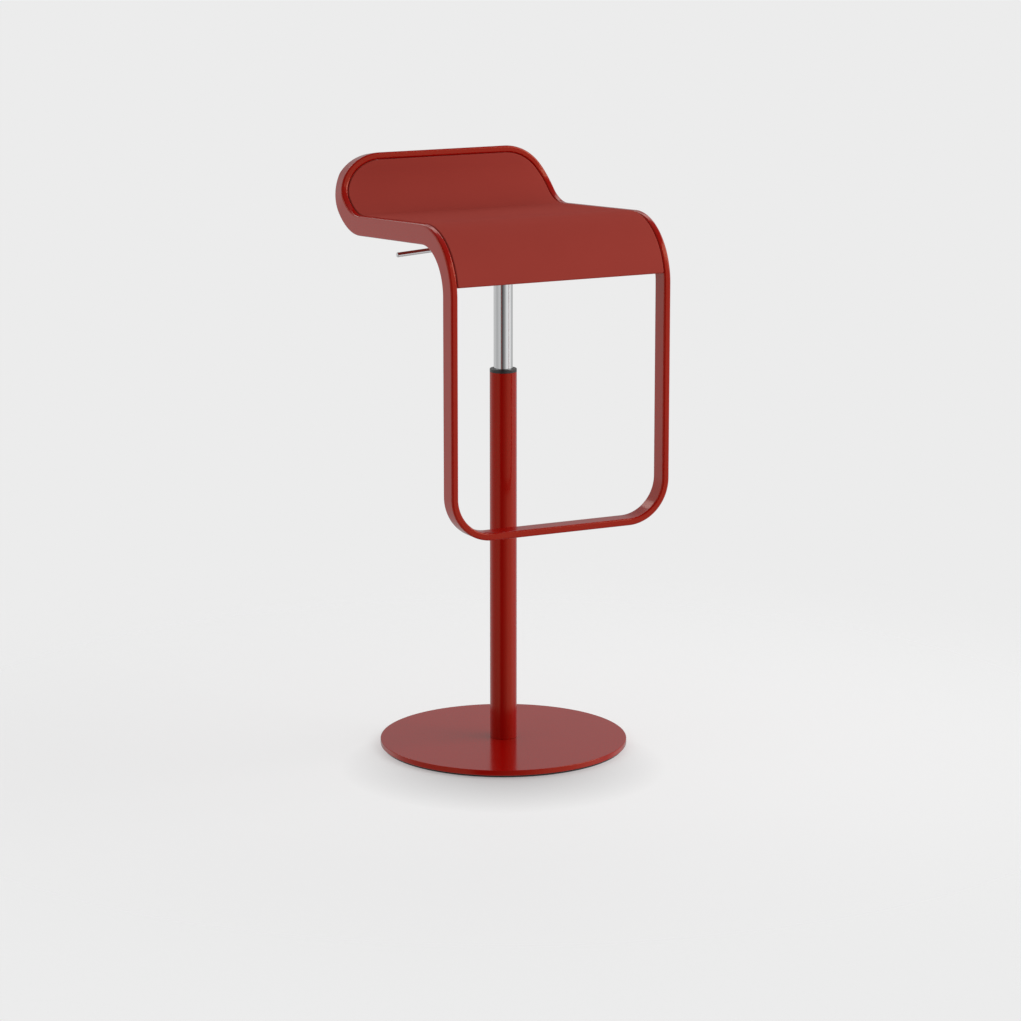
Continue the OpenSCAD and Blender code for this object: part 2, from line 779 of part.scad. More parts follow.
// Curved ledges on the legs' inner faces, behind the panel's front end
module front_ledges() {
    outer_r = front_r - panel_t - seat_gap;
    span = tab_w / outer_r * 180 / PI;
    mid = 90 - heading(ledge_along);
    color(red) difference() {
        for (side = [-1, 1])
            translate([side * (inner_half_w - tab_w / 2) - tab_w / 2, front_centre[0], front_centre[1]])
                rotate([0, 90, 0]) rotate([0, 0, 180 + 90 - mid - span / 2])
                    rotate_extrude(angle = span) translate([outer_r - tab_t, 0]) square([tab_t, tab_w]);
        edge_screw_places(true) at_z(-cut) {
            cylinder(r = m4 / 2 + hole_gap, h = tab_t + 2 * cut);
            cylinder(r = m4 * head_ratio + hole_gap, h = cut);
        }
    }
}

module back_tabs() {
    color(red) difference() {
        for (side = [-1, 1])
            on_surface(side * back_tab_x, back_screw_along)
                translate([-tab_w / 2, -tab_w / 2, -panel_t - tab_t]) cube([tab_w, tab_w, tab_t]);
        edge_screw_places(false) at_z(-cut) cylinder(r = m4 / 2 + hole_gap, h = tab_t + 2 * cut);
    }
}

// The screws at the panel's front end, and at the back's top
module edge_screw_places(front) {
    s = front ? ledge_along : back_screw_along;
    x = front ? inner_half_w - tab_w / 2 : back_tab_x;
    for (side = [-1, 1])
        on_surface(side * x, s) at_z(-panel_t - tab_t) children();
}

// ---- panel

module seat_panel() {
    k = len(panel_stations);
    points = [for (st = panel_stations) each [
        on_line(-st[1], st[0], 0),
        on_line(st[1], st[0], 0),
        on_line(st[1], st[0], -panel_t),
        on_line(-st[1], st[0], -panel_t)
    ]];
    last = 4 * (k - 1);
    faces = concat(
        [for (i = [0 : k - 2], j = [0 : 3])
            let (n = (j + 1) % 4, a = 4 * i, b = 4 * i + 4)
            each patch(a + n, a + j, b + j, b + n)],
        [[0, 1, 2, 3], [last + 3, last + 2, last + 1, last]]
    );
    color(red) difference() {
        polyhedron(points = points, faces = faces, convexity = 6);
        panel_screw_places() cylinder(r = m5 / 2 + insert_wall + seat_gap, h = rail_t + insert_l);
        edge_screw_places(true) cylinder(r = m4 / 2 + insert_wall + seat_gap, h = tab_t + insert_l);
        edge_screw_places(false) cylinder(r = m4 / 2 + insert_wall + seat_gap, h = tab_t + insert_l);
    }
}

module threaded_insert(d) {
    ring(d / 2 + insert_wall, d / 2 + seat_gap, insert_l);
}

module panel_inserts() {
    color(brass) panel_screw_places() at_z(rail_t) threaded_insert(m5);
}

module edge_inserts() {
    color(brass) {
        edge_screw_places(true) at_z(tab_t) threaded_insert(m4);
        edge_screw_places(false) at_z(tab_t) threaded_insert(m4);
    }
}

module panel_screws() {
    color(steel) panel_screw_places() pan_screw(m5, rail_t + insert_l - 1);
}

module edge_screws() {
    color(steel) {
        edge_screw_places(true) pan_screw(m4, tab_t + insert_l - 1);
        edge_screw_places(false) pan_screw(m4, tab_t + insert_l - 1);
    }
}

// ---- lever and valve

// Places a shape at the lever's pivot, with its +X running along the lever towards the column's axis
module at_pivot() {
    translate([-pivot_x, 0, pivot_z]) rotate([0, -lever_droop, 0]) children();
}

pivot_web = 3;               // metal left between the pivot's hole and the rod's hole
rod_in_rocker_x = -pivot_d / 2 - pivot_web;
rocker_left_x = -14;
rocker_past_button = 1.5;
rocker_right_x = pivot_x / cos(lever_droop) + button_d / 2 + rocker_past_button;
lever_tip_x = -(lever_reach - pivot_x) / cos(lever_droop);

module release_lever() {
    tip_edge = 1;
    lever_l = rod_in_rocker_x - lever_tip_x;
    color(chrome) at_pivot() translate([lever_tip_x, 0, 0]) rotate([0, 90, 0]) rotate_extrude() {
        translate([0, tip_edge]) square([lever_d / 2, lever_l - tip_edge]);
        square([lever_d / 2 - tip_edge, lever_l]);
        translate([lever_d / 2 - tip_edge, tip_edge]) circle(r = tip_edge);
    }
}

module lever_rocker() {
    color(dark_steel) at_pivot() difference() {
        translate([rocker_left_x, -rocker_w / 2, -rocker_h / 2])
            cube([rocker_right_x - rocker_left_x, rocker_w, rocker_h]);
        translate([rocker_left_x - cut, 0, 0]) rotate([0, 90, 0])
            cylinder(r = lever_d / 2 + seat_gap, h = rod_in_rocker_x - rocker_left_x + cut);
        rotate([90, 0, 0]) cylinder(r = pivot_d / 2 + run_gap, h = rocker_w + 2 * cut, center = true);
    }
}

module valve_button() {
    edge = 1;
    stem_start = 8;          // height of the button's foot in the valve block
    button_z = valve_block_z + stem_start;
    color(steel) at_z(button_z) rotate_extrude() {
        square([button_d / 2, button_top_z - button_z - edge]);
        square([button_d / 2 - edge, button_top_z - button_z]);
        translate([button_d / 2 - edge, button_top_z - button_z - edge]) circle(r = edge);
    }
}

floor_pad();
foot_disc();
foot_bolt();
foot_dowels();
column_foot_plug();
column_tube();
support_sleeve();
anchor_plate();
bearing_lower_race();
guide_bush();
ball_cage();
bearing_balls();
piston_rod();
piston();
piston_seal();
bearing_upper_race();
bump_stop();
rod_washer();
rod_clip();
gas_cylinder();
pressure_tube();
end_guide();
rod_seal();
valve_block();
taper_socket();
mechanism_tray();
tray_screws();
front_rail();
rear_rail();
lever_bracket();
pivot_pin();
pivot_clip();
footrest_tube();
back_rim_tube();
front_ledges();
back_tabs();
seat_panel();
panel_inserts();
panel_screws();
edge_inserts();
edge_screws();
release_lever();
lever_rocker();
valve_button();
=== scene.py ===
# %% [markdown]
# # A swivel stool, dressed piece by piece
#
# The stool's mechanics come ready made: a measured model with every tube, bolt and bearing in its place.
# This lesson keeps that model as a fixed frame and gives it its looks. Plain inner pieces keep their
# shape and get a material. The pieces that the eye lands on are made again, smoother and with their real
# edges.

# %% Load the measured model
import json
import math

import bpy
import bmesh
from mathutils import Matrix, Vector, geometry

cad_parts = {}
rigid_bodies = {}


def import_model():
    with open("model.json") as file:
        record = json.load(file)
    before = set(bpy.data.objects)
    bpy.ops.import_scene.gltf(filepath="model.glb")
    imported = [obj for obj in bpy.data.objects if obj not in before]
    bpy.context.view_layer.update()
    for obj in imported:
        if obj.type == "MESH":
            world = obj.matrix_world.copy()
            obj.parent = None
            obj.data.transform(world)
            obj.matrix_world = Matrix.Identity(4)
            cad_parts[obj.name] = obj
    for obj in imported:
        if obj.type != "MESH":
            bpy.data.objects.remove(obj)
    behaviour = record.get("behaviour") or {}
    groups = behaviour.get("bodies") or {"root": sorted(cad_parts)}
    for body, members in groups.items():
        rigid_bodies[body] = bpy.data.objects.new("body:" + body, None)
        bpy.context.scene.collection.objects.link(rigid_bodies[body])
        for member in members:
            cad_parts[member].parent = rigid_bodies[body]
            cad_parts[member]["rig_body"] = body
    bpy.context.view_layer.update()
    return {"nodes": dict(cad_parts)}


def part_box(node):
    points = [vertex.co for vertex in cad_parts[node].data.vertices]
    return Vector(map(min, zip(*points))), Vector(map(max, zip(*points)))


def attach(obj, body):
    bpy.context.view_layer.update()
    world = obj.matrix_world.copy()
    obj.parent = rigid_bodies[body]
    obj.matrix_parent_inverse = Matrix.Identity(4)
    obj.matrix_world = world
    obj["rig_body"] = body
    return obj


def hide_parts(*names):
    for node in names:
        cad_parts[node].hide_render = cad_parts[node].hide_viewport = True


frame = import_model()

# %% [markdown]
# ## The camera
# The stool is seen from its front left, a little from above, through a long lens from about five metres.
# A long lens keeps the two legs and the back nearly parallel. The camera looks along a direction, and
# `to_track_quat` turns that direction into the camera's rotation: a camera looks along its own -Z with +Y
# up.

# %% The camera
eye = Vector((-2.2975, -4.5403, 1.4492))
looking = Vector((0.4433, 0.8715, -0.2096))
lens = bpy.data.cameras.new("long_lens")
lens.lens, lens.sensor_width = 123.5, 36
camera = bpy.data.objects.new("camera", lens)
camera.location = eye
camera.rotation_mode = "QUATERNION"
camera.rotation_quaternion = looking.to_track_quat("-Z", "Y")
bpy.context.scene.collection.objects.link(camera)
bpy.context.scene.camera = camera
print("camera is", round(eye.length, 2), "m from the stool's foot")

# %% [markdown]
# ## Colours and nodes
# A hex colour is written for a screen. Blender calculates with light, so every hex colour is turned to
# linear values first. One function adds a node: its properties are given by name, and its sockets in
# `sockets`, where another node's output makes a link and anything else is a plain value.

# %% Colour and node helpers
def linear(hex_colour):
    values = [int(hex_colour[i:i + 2], 16) / 255 for i in (1, 3, 5)]
    return [v / 12.92 if v <= 0.04045 else ((v + 0.055) / 1.055) ** 2.4 for v in values] + [1]


def add(tree, kind, sockets=None, **properties):
    node = tree.nodes.new(kind)
    for name, value in properties.items():
        setattr(node, name, value)
    for name, value in (sockets or {}).items():
        if isinstance(value, bpy.types.NodeSocket):
            tree.links.new(value, node.inputs[name])
        else:
            node.inputs[name].default_value = value
    return node


print("middle grey as light:", round(linear("#808080")[0], 3))

# %% [markdown]
# ## Floor and light
# A product studio is a pale floor that runs up into a pale wall, with large soft lamps at both sides and
# little light from where the camera stands. Real lamps and walls could be modelled, but the sky that
# surrounds a Blender scene can hold the whole room as a painted dome: a colour for each direction. The
# dome here is a ring of brightness values round the horizon. The dark stretch near the camera is what
# gives the column and the chrome their dark cores. The floor glows a little by itself, so that it stays
# even, and it fades out before its rim. Its glow is weaker just in front of the foot: a painted shadow.

# %% The studio dome
FULL_TURN, HALF_TURN = 360.0, 180.0
CAMERA_SIDE = math.degrees(math.atan2(eye.y, eye.x))   # where the camera stands, round the vertical axis
ROUND_THE_ROOM = [   # angle from the camera's side, to the right, and the brightness there
    (-180, 0.42), (-150, 0.52), (-126, 0.92), (-106, 0.70), (-75, 0.60), (-42, 0.80), (-31, 0.62),
    (-24, 0.09), (-8, 0.09), (4, 0.24), (14, 0.36), (27, 0.62), (38, 0.96), (48, 1.08), (62, 1.02),
    (78, 1.25), (94, 1.20), (112, 0.60), (130, 0.80), (150, 0.52), (180, 0.42)]
CEILING, GROUND = 0.26, 0.65
CEILING_STARTS, CEILING_FULL = 0.45, 0.85      # height of a direction: 1 straight up, -1 straight down
GROUND_STARTS, GROUND_FULL = -0.28, -0.60
PALE = "#ECECEC"

world = bpy.data.worlds.new("studio")
bpy.context.scene.world = world
world.use_nodes = True
sky = world.node_tree
sky.nodes.clear()
way = add(sky, "ShaderNodeTexCoord")
part = add(sky, "ShaderNodeSeparateXYZ", {0: way.outputs["Generated"]})
bearing = add(sky, "ShaderNodeMath", {0: part.outputs[1], 1: part.outputs[0]}, operation="ARCTAN2")
degrees = add(sky, "ShaderNodeMath", {0: bearing.outputs[0]}, operation="DEGREES")
from_camera = add(sky, "ShaderNodeMath", {0: degrees.outputs[0], 1: CAMERA_SIDE}, operation="SUBTRACT")
wrapped = add(sky, "ShaderNodeMath", {0: from_camera.outputs[0], 1: -HALF_TURN, 2: HALF_TURN},
              operation="WRAP")
place = add(sky, "ShaderNodeMapRange", {0: wrapped.outputs[0], 1: -HALF_TURN, 2: HALF_TURN})
ring = add(sky, "ShaderNodeValToRGB", {0: place.outputs[0]})
stops = ring.color_ramp.elements
while len(stops) > 1:
    stops.remove(stops[-1])
for i, (angle, brightness) in enumerate(ROUND_THE_ROOM):
    stop = stops[0] if i == 0 else stops.new((angle + HALF_TURN) / FULL_TURN)
    stop.position = (angle + HALF_TURN) / FULL_TURN
    stop.color = (brightness, brightness, brightness, 1)
overhead = add(sky, "ShaderNodeMapRange", {0: part.outputs[2], 1: CEILING_STARTS, 2: CEILING_FULL},
               interpolation_type="SMOOTHSTEP")
below = add(sky, "ShaderNodeMapRange", {0: part.outputs[2], 1: GROUND_STARTS, 2: GROUND_FULL},
            interpolation_type="SMOOTHSTEP")
upper = add(sky, "ShaderNodeMix",
            {0: overhead.outputs[0], 6: ring.outputs[0], 7: (CEILING, CEILING, CEILING, 1)},
            data_type="RGBA")
room = add(sky, "ShaderNodeMix",
           {0: below.outputs[0], 6: upper.outputs[2], 7: (GROUND, GROUND, GROUND, 1)}, data_type="RGBA")
seen = add(sky, "ShaderNodeLightPath")
picture = add(sky, "ShaderNodeMix", {0: seen.outputs["Is Camera Ray"], 6: room.outputs[2], 7: linear(PALE)},
              data_type="RGBA")
glow = add(sky, "ShaderNodeBackground", {"Color": picture.outputs[2], "Strength": 1.0})
add(sky, "ShaderNodeOutputWorld", {"Surface": glow.outputs[0]})
bpy.context.scene.view_settings.view_transform = "Standard"
print(len(ROUND_THE_ROOM), "brightness values round the room")

# %% Soft boxes
AIM = Vector((0, 0, 0.6))
# name: angle from the camera's side, angle above the horizon, distance, width, height, power in watts
SOFT_BOXES = {"key_box": (88, 32, 3.2, 2.6, 2.0, 46), "back_box": (180, 44, 3.6, 3.2, 1.2, 16),
              "fill_box": (-85, 25, 3.4, 2.0, 1.6, 10), "rim_box": (-142, 30, 3.4, 1.0, 0.7, 4)}
for name, (angle, above, distance, width, height, power) in SOFT_BOXES.items():
    box_light = bpy.data.lights.new(name, "AREA")
    box_light.shape, box_light.size, box_light.size_y, box_light.energy = "RECTANGLE", width, height, power
    lamp = bpy.data.objects.new(name, box_light)
    bearing_of_box, above = math.radians(CAMERA_SIDE + angle), math.radians(above)
    lamp.location = AIM + distance * Vector((math.cos(bearing_of_box) * math.cos(above),
                                             math.sin(bearing_of_box) * math.cos(above), math.sin(above)))
    lamp.rotation_mode = "QUATERNION"
    lamp.rotation_quaternion = (AIM - lamp.location).to_track_quat("-Z", "Y")
    lamp.visible_camera = False
    bpy.context.scene.collection.objects.link(lamp)
print(", ".join(SOFT_BOXES), "aimed at the stool")

# %% The floor
FLOOR_RADIUS, FADE_FROM, FADE_TO = 2.4, 0.45, 1.3        # metres from the stool's axis
SHADE_FORWARD, SHADE_CORE, SHADE_RIM = 0.12, 0.07, 0.24  # metres; centre and size of a painted shadow of the foot, set forward of it
GLOW_IN_SHADE, GLOW_AROUND = 0.20, 0.50                  # strength of the floor's own glow, in the painted shadow and around it
MATT_WHITE = (0.45, 0.45, 0.45, 1)
floor_mesh = bpy.data.meshes.new("floor")
floor_form = bmesh.new()
bmesh.ops.create_circle(floor_form, cap_ends=True, segments=96, radius=FLOOR_RADIUS)
floor_form.to_mesh(floor_mesh)
floor_form.free()
floor = bpy.data.objects.new("floor", floor_mesh)
bpy.context.scene.collection.objects.link(floor)

lit_table = bpy.data.materials.new("lit_acrylic_table")
lit_table.use_nodes = True
table_tree = lit_table.node_tree
table_tree.nodes.clear()
spot_on_floor = add(table_tree, "ShaderNodeTexCoord")
reach = add(table_tree, "ShaderNodeVectorMath", {0: spot_on_floor.outputs["Object"]}, operation="LENGTH")
fade = add(table_tree, "ShaderNodeMapRange", {0: reach.outputs["Value"], 1: FADE_FROM, 2: FADE_TO},
           interpolation_type="SMOOTHSTEP")
# Painted shadow: the floor's glow is weaker near a spot just in front of the foot and full further out
painted_shadow_centre = SHADE_FORWARD * Vector((eye.x, eye.y, 0)).normalized()
from_painted_shadow = add(table_tree, "ShaderNodeVectorMath",
                 {0: spot_on_floor.outputs["Object"], 1: tuple(painted_shadow_centre)}, operation="SUBTRACT")
away = add(table_tree, "ShaderNodeVectorMath", {0: from_painted_shadow.outputs[0]}, operation="LENGTH")
glow_with_painted_shadow = add(table_tree, "ShaderNodeMapRange", {
    0: away.outputs["Value"], 1: SHADE_CORE, 2: SHADE_RIM, 3: GLOW_IN_SHADE, 4: GLOW_AROUND})
lit = add(table_tree, "ShaderNodeEmission", {"Color": (1, 1, 1, 1), "Strength": glow_with_painted_shadow.outputs[0]})
matt = add(table_tree, "ShaderNodeBsdfPrincipled", {
    "Base Color": MATT_WHITE, "Roughness": 0.55, "IOR": 1.45, "Specular IOR Level": 0.12})
surface = add(table_tree, "ShaderNodeAddShader", {0: lit.outputs[0], 1: matt.outputs[0]})
nothing = add(table_tree, "ShaderNodeBsdfTransparent")
edge = add(table_tree, "ShaderNodeMixShader",
           {0: fade.outputs[0], 1: surface.outputs[0], 2: nothing.outputs[0]})
add(table_tree, "ShaderNodeOutputMaterial", {"Surface": edge.outputs[0]})
floor_mesh.materials.append(lit_table)
floor.visible_diffuse = False      # the dome's lower half already stands for light from below
floor.visible_glossy = False
print("floor radius", FLOOR_RADIUS, "m")

# %% [markdown]
# ## Lacquer on the steel
# The foot, the column and the loop are satin powder coat: a dry powder is baked until it flows into a
# film. It could be one flat red, but a real film is never quite level. It keeps a fine ripple, called
# orange peel, about 1.5 mm from crest to crest and a few thousandths of a millimetre deep, and its gloss
# varies a little. The ripple softens reflections more than it shows by itself, so a noise pattern feeds a
# Bump node with a very small distance.

# %% Materials start here
def new_finish(name):
    finish = bpy.data.materials.new(name)
    finish.use_nodes = True
    tree = finish.node_tree
    tree.nodes.clear()
    shader = add(tree, "ShaderNodeBsdfPrincipled")
    add(tree, "ShaderNodeOutputMaterial", {"Surface": shader.outputs[0]})
    return finish, tree, shader


MM = 0.001


def per(millimetres):
    return 1 / (millimetres * MM)      # noise scale for a pattern whose features lie this far apart


print("a 1.5 mm ripple needs a noise scale of", round(per(1.5)))

# %% Satin powder coat
# Baked polyester powder on steel: deep saturated red, a soft sheen at glancing angles, faint orange peel
powder_coat, tree, shader = new_finish("satin_powder_coat")
where = add(tree, "ShaderNodeTexCoord").outputs["Object"]
patches = add(tree, "ShaderNodeTexNoise", {"Vector": where, "Scale": per(120), "Detail": 2.0})
red = add(tree, "ShaderNodeMix", {0: patches.outputs["Fac"], 6: linear("#9B0603"), 7: linear("#A10704")},
          data_type="RGBA")
sheen = add(tree, "ShaderNodeTexNoise", {"Vector": where, "Scale": per(25), "Detail": 3.0})
gloss = add(tree, "ShaderNodeMapRange", {0: sheen.outputs["Fac"], 1: 0.3, 2: 0.7, 3: 0.13, 4: 0.17})
ripple = add(tree, "ShaderNodeTexNoise", {"Vector": where, "Scale": per(1.5), "Detail": 1.0})
peel = add(tree, "ShaderNodeBump",
           {"Height": ripple.outputs["Fac"], "Strength": 0.5, "Distance": 0.004 * MM})
tree.links.new(red.outputs[2], shader.inputs["Base Color"])
tree.links.new(gloss.outputs[0], shader.inputs["Roughness"])
tree.links.new(peel.outputs[0], shader.inputs["Normal"])
shader.inputs["IOR"].default_value = 1.5
shader.inputs["Specular Tint"].default_value = (1.0, 0.48, 0.28, 1.0)
print("powder coat ready")

# %% Matt lacquer on formed plywood
# Sprayed polyurethane over veneers pressed to shape: even, matt, with the grain only just showing through
ply_lacquer, tree, shader = new_finish("matt_lacquered_plywood")
where = add(tree, "ShaderNodeTexCoord").outputs["Object"]
patches = add(tree, "ShaderNodeTexNoise", {"Vector": where, "Scale": per(90), "Detail": 3.0})
red = add(tree, "ShaderNodeMix", {0: patches.outputs["Fac"], 6: linear("#A03E35"), 7: linear("#A64138")},
          data_type="RGBA")
along_grain = add(tree, "ShaderNodeMapping", {"Vector": where, "Scale": (1.0, 0.06, 0.06)})
grain = add(tree, "ShaderNodeTexNoise",
            {"Vector": along_grain.outputs[0], "Scale": per(1.2), "Detail": 2.0})
speckle = add(tree, "ShaderNodeTexNoise", {"Vector": where, "Scale": per(0.7), "Detail": 1.0})
height = add(tree, "ShaderNodeMath", {0: grain.outputs["Fac"], 1: speckle.outputs["Fac"]}, operation="ADD")
skin = add(tree, "ShaderNodeBump", {"Height": height.outputs[0], "Strength": 0.4, "Distance": 0.010 * MM})
tree.links.new(red.outputs[2], shader.inputs["Base Color"])
tree.links.new(skin.outputs[0], shader.inputs["Normal"])
shader.inputs["Roughness"].default_value = 0.90
shader.inputs["IOR"].default_value = 1.45
shader.inputs["Specular IOR Level"].default_value = 0.04
print("plywood lacquer ready")

# %% [markdown]
# ## Bare metals, plastic and rubber
# Each starts from what the piece is really made of. The gas cylinder and the lever are chrome plated:
# chromium is a rather dark mirror that gives back two thirds of the light, with fine rings left by
# centreless grinding. Those rings are 0.05 mm apart on the real part, too fine to show here, so they are
# drawn 0.6 mm apart and faint.

# %% Chrome plate
# Ground and plated tube: a cool, fairly dark mirror, sharp reflections drawn out a little along the tube
chrome_plate, tree, shader = new_finish("chrome_plated_tube")
where = add(tree, "ShaderNodeTexCoord").outputs["Object"]
rings = add(tree, "ShaderNodeMapping", {"Vector": where, "Scale": (0.02, 0.02, 1.0)})
ground = add(tree, "ShaderNodeTexNoise", {"Vector": rings.outputs[0], "Scale": per(0.6), "Detail": 2.0})
lines = add(tree, "ShaderNodeBump",
            {"Height": ground.outputs["Fac"], "Strength": 0.15, "Distance": 0.01 * MM})
haze = add(tree, "ShaderNodeTexNoise", {"Vector": where, "Scale": per(18), "Detail": 2.0})
polish = add(tree, "ShaderNodeMapRange", {0: haze.outputs["Fac"], 1: 0.3, 2: 0.7, 3: 0.10, 4: 0.14})
tree.links.new(lines.outputs[0], shader.inputs["Normal"])
tree.links.new(polish.outputs[0], shader.inputs["Roughness"])
shader.inputs["Base Color"].default_value = linear("#CFD0D1")
shader.inputs["Metallic"].default_value = 1.0
print("chrome ready")

# %% Plated, phosphated and turned metals
# name: colour, roughness, metallic, spacing and depth of its surface marks in mm, stretch along X, Y, Z
SMALL_METALS = {
    "bright_zinc_plate": ("#C3C7CB", 0.30, 1.0, 0.5, 0.010, (1, 1, 1)),
    "black_phosphated_steel": ("#2A2B2D", 0.48, 0.6, 0.9, 0.020, (1, 1, 1)),
    "turned_brass": ("#D3AE62", 0.22, 1.0, 0.6, 0.012, (0.05, 0.05, 1)),
    "ground_hardened_steel": ("#B9BBBE", 0.12, 1.0, 0.6, 0.005, (0.05, 0.05, 1)),
}
small_finish = {}
for name, (colour, rough, metal, spacing, depth, stretch) in SMALL_METALS.items():
    finish, tree, shader = new_finish(name)
    where = add(tree, "ShaderNodeTexCoord").outputs["Object"]
    drawn = add(tree, "ShaderNodeMapping", {"Vector": where, "Scale": stretch})
    marks = add(tree, "ShaderNodeTexNoise",
                {"Vector": drawn.outputs[0], "Scale": per(spacing), "Detail": 2.0})
    relief = add(tree, "ShaderNodeBump",
                 {"Height": marks.outputs["Fac"], "Strength": 0.4, "Distance": depth * MM})
    blotch = add(tree, "ShaderNodeTexNoise", {"Vector": where, "Scale": per(9), "Detail": 2.0})
    varied = add(tree, "ShaderNodeMapRange",
                 {0: blotch.outputs["Fac"], 1: 0.3, 2: 0.7, 3: rough * 0.85, 4: rough * 1.15})
    tree.links.new(relief.outputs[0], shader.inputs["Normal"])
    tree.links.new(varied.outputs[0], shader.inputs["Roughness"])
    shader.inputs["Base Color"].default_value = linear(colour)
    shader.inputs["Metallic"].default_value = metal
    small_finish[name] = finish
print("metals:", ", ".join(small_finish))

# %% Moulded nylon and rubber
# Injection moulded polyamide takes the fine grain of its spark-eroded mould; rubber is duller
for name, colour, rough, ior, grain_mm, depth in (
        ("moulded_black_nylon", "#201F1F", 0.34, 1.53, 0.5, 0.02),
        ("moulded_black_rubber", "#1B1B1B", 0.75, 1.52, 0.8, 0.03)):
    finish, tree, shader = new_finish(name)
    where = add(tree, "ShaderNodeTexCoord").outputs["Object"]
    grain = add(tree, "ShaderNodeTexNoise", {"Vector": where, "Scale": per(grain_mm), "Detail": 1.0})
    pebble = add(tree, "ShaderNodeBump",
                 {"Height": grain.outputs["Fac"], "Strength": 0.5, "Distance": depth * MM})
    tree.links.new(pebble.outputs[0], shader.inputs["Normal"])
    shader.inputs["Base Color"].default_value = linear(colour)
    shader.inputs["Roughness"].default_value = rough
    shader.inputs["IOR"].default_value = ior
    small_finish[name] = finish
print("plastics ready")

# %% [markdown]
# ## Dressing the frame's own pieces
# The inner pieces, such as the bearing and the piston, have the right shape already. They only need their
# material, which goes into the object's own slot. The list goes by the finish that each piece has on a
# real stool. Pieces that are made again further on get their material there.

# %% Materials on the frame's pieces
WEARS = {
    "bright_zinc_plate": ["foot_bolt", "foot_dowels", "bearing_lower_race", "bearing_upper_race",
                          "rod_washer", "pressure_tube", "valve_button"],
    "black_phosphated_steel": ["column_foot_plug", "support_sleeve", "anchor_plate", "piston", "rod_clip",
                               "pivot_clip"],
    "turned_brass": ["ball_cage", "valve_block", "panel_inserts", "edge_inserts"],
    "ground_hardened_steel": ["bearing_balls", "piston_rod"],
    "moulded_black_nylon": ["end_guide"],
    "moulded_black_rubber": ["piston_seal", "bump_stop", "rod_seal"],
}
for finish_name, node_names in WEARS.items():
    for node_name in node_names:
        frame["nodes"][node_name].material_slots[0].material = small_finish[finish_name]
print(sum(len(names) for names in WEARS.values()), "pieces dressed")

# %% [markdown]
# ## Rounded outlines
# Nothing that is turned, pressed or drawn has a perfectly sharp edge, and it is the small rounding that
# catches the light. `rounded` takes the corners of an outline, each with its radius, and puts an arc in
# each. It also puts a holding point just before and after each arc, so that smooth shading stays inside
# the rounding and the flats beside it stay flat.

# %% An outline with rounded corners
def rounded(corners, steps=4):
    outline = []
    for i, (x, y, radius) in enumerate(corners):
        corner = Vector((x, y))
        if radius == 0:
            outline.append(corner)
            continue
        back = (Vector(corners[i - 1][:2]) - corner).normalized()
        ahead = (Vector(corners[(i + 1) % len(corners)][:2]) - corner).normalized()
        half = back.angle(ahead) / 2
        reach, sweep = radius / math.tan(half), math.pi - 2 * half
        centre = corner + (back + ahead).normalized() * radius / math.sin(half)
        start, end = corner + back * reach - centre, corner + ahead * reach - centre
        outline.append(centre + start + back * radius * 0.3)
        for k in range(steps + 1):
            f = k / steps
            blend = start * math.sin((1 - f) * sweep) + end * math.sin(f * sweep)
            outline.append(centre + blend / math.sin(sweep))
        outline.append(centre + end + ahead * radius * 0.3)
    return outline


SHARP_FROM = math.radians(40)      # faces that meet at less than this are shaded as one smooth surface


def keep(name, mesh, material, body, slot, *stands_for):
    """Puts a finished mesh in the scene as a piece of the stool, riding on its body."""
    mesh.materials.clear()
    mesh.materials.append(material)
    if not mesh.has_custom_normals:
        mesh.shade_smooth()
        mesh.set_sharp_from_angle(angle=SHARP_FROM)
    piece = bpy.data.objects.new(name, mesh)
    bpy.context.scene.collection.objects.link(piece)
    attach(piece, body)
    if stands_for:
        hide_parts(*stands_for)
    print(f"{name}: {len(mesh.polygons)} faces, on {body}")
    return piece


# %% [markdown]
# ## Turned pieces
# The foot disc, the column, the black collar, the gas cylinder and the lever's rod are all round.
# Spinning a profile could be done with the Screw modifier. Here the outline, given as radius and height,
# is placed at even turns round the axis and the rings are joined with faces, which leaves one clean seam
# and closed ends.

# %% Turning an outline round the vertical axis
def turned(outline, sides, six_sided=()):
    """Points of the outline listed in six_sided go round as a hexagon instead of a circle."""
    form = bmesh.new()
    rings = []
    for i, p in enumerate(outline):
        ring_verts = []
        for k in range(1 if p.x < 1e-7 else sides):
            a = math.tau * k / sides
            flat_side = math.cos(math.pi / 6) / math.cos((a + math.pi / 6) % (math.pi / 3) - math.pi / 6)
            reach = p.x * (flat_side if i in six_sided else 1)
            ring_verts.append(form.verts.new((reach * math.cos(a), reach * math.sin(a), p.y)))
        rings.append(ring_verts)
    for low, high in zip(rings, rings[1:] + rings[:1]):
        for k in range(sides):
            n = k + 1
            loop = [low[k % len(low)], low[n % len(low)], high[n % len(high)], high[k % len(high)]]
            loop = list(dict.fromkeys(loop))      # a ring that is a single point gives triangles
            if len(loop) > 2:
                form.faces.new(loop)
    bmesh.ops.recalc_face_normals(form, faces=form.faces)
    mesh = bpy.data.meshes.new("turned")
    form.to_mesh(mesh)
    form.free()
    return mesh


# %% Foot disc and floor pad
low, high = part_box("foot_disc")
disc_r, disc_z, disc_top = high[0], low[2], high[2]
bolt_r = 6.3 * MM      # the bolt's hole
keep("foot_plate", turned(rounded([
    (bolt_r, disc_z, 0), (disc_r, disc_z, 1.0 * MM), (disc_r, disc_top, 1.2 * MM),
    (bolt_r, disc_top, 0)]), 256), powder_coat, "base", "lacquer", "foot_disc")
low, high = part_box("floor_pad")
keep("rubber_pad", turned(rounded([
    (0, low[2], 0), (high[0], low[2], 0.6 * MM), (high[0], high[2], 0.3 * MM), (0, high[2], 0)]), 192),
    small_finish["moulded_black_rubber"], "base", "rubber", "floor_pad")

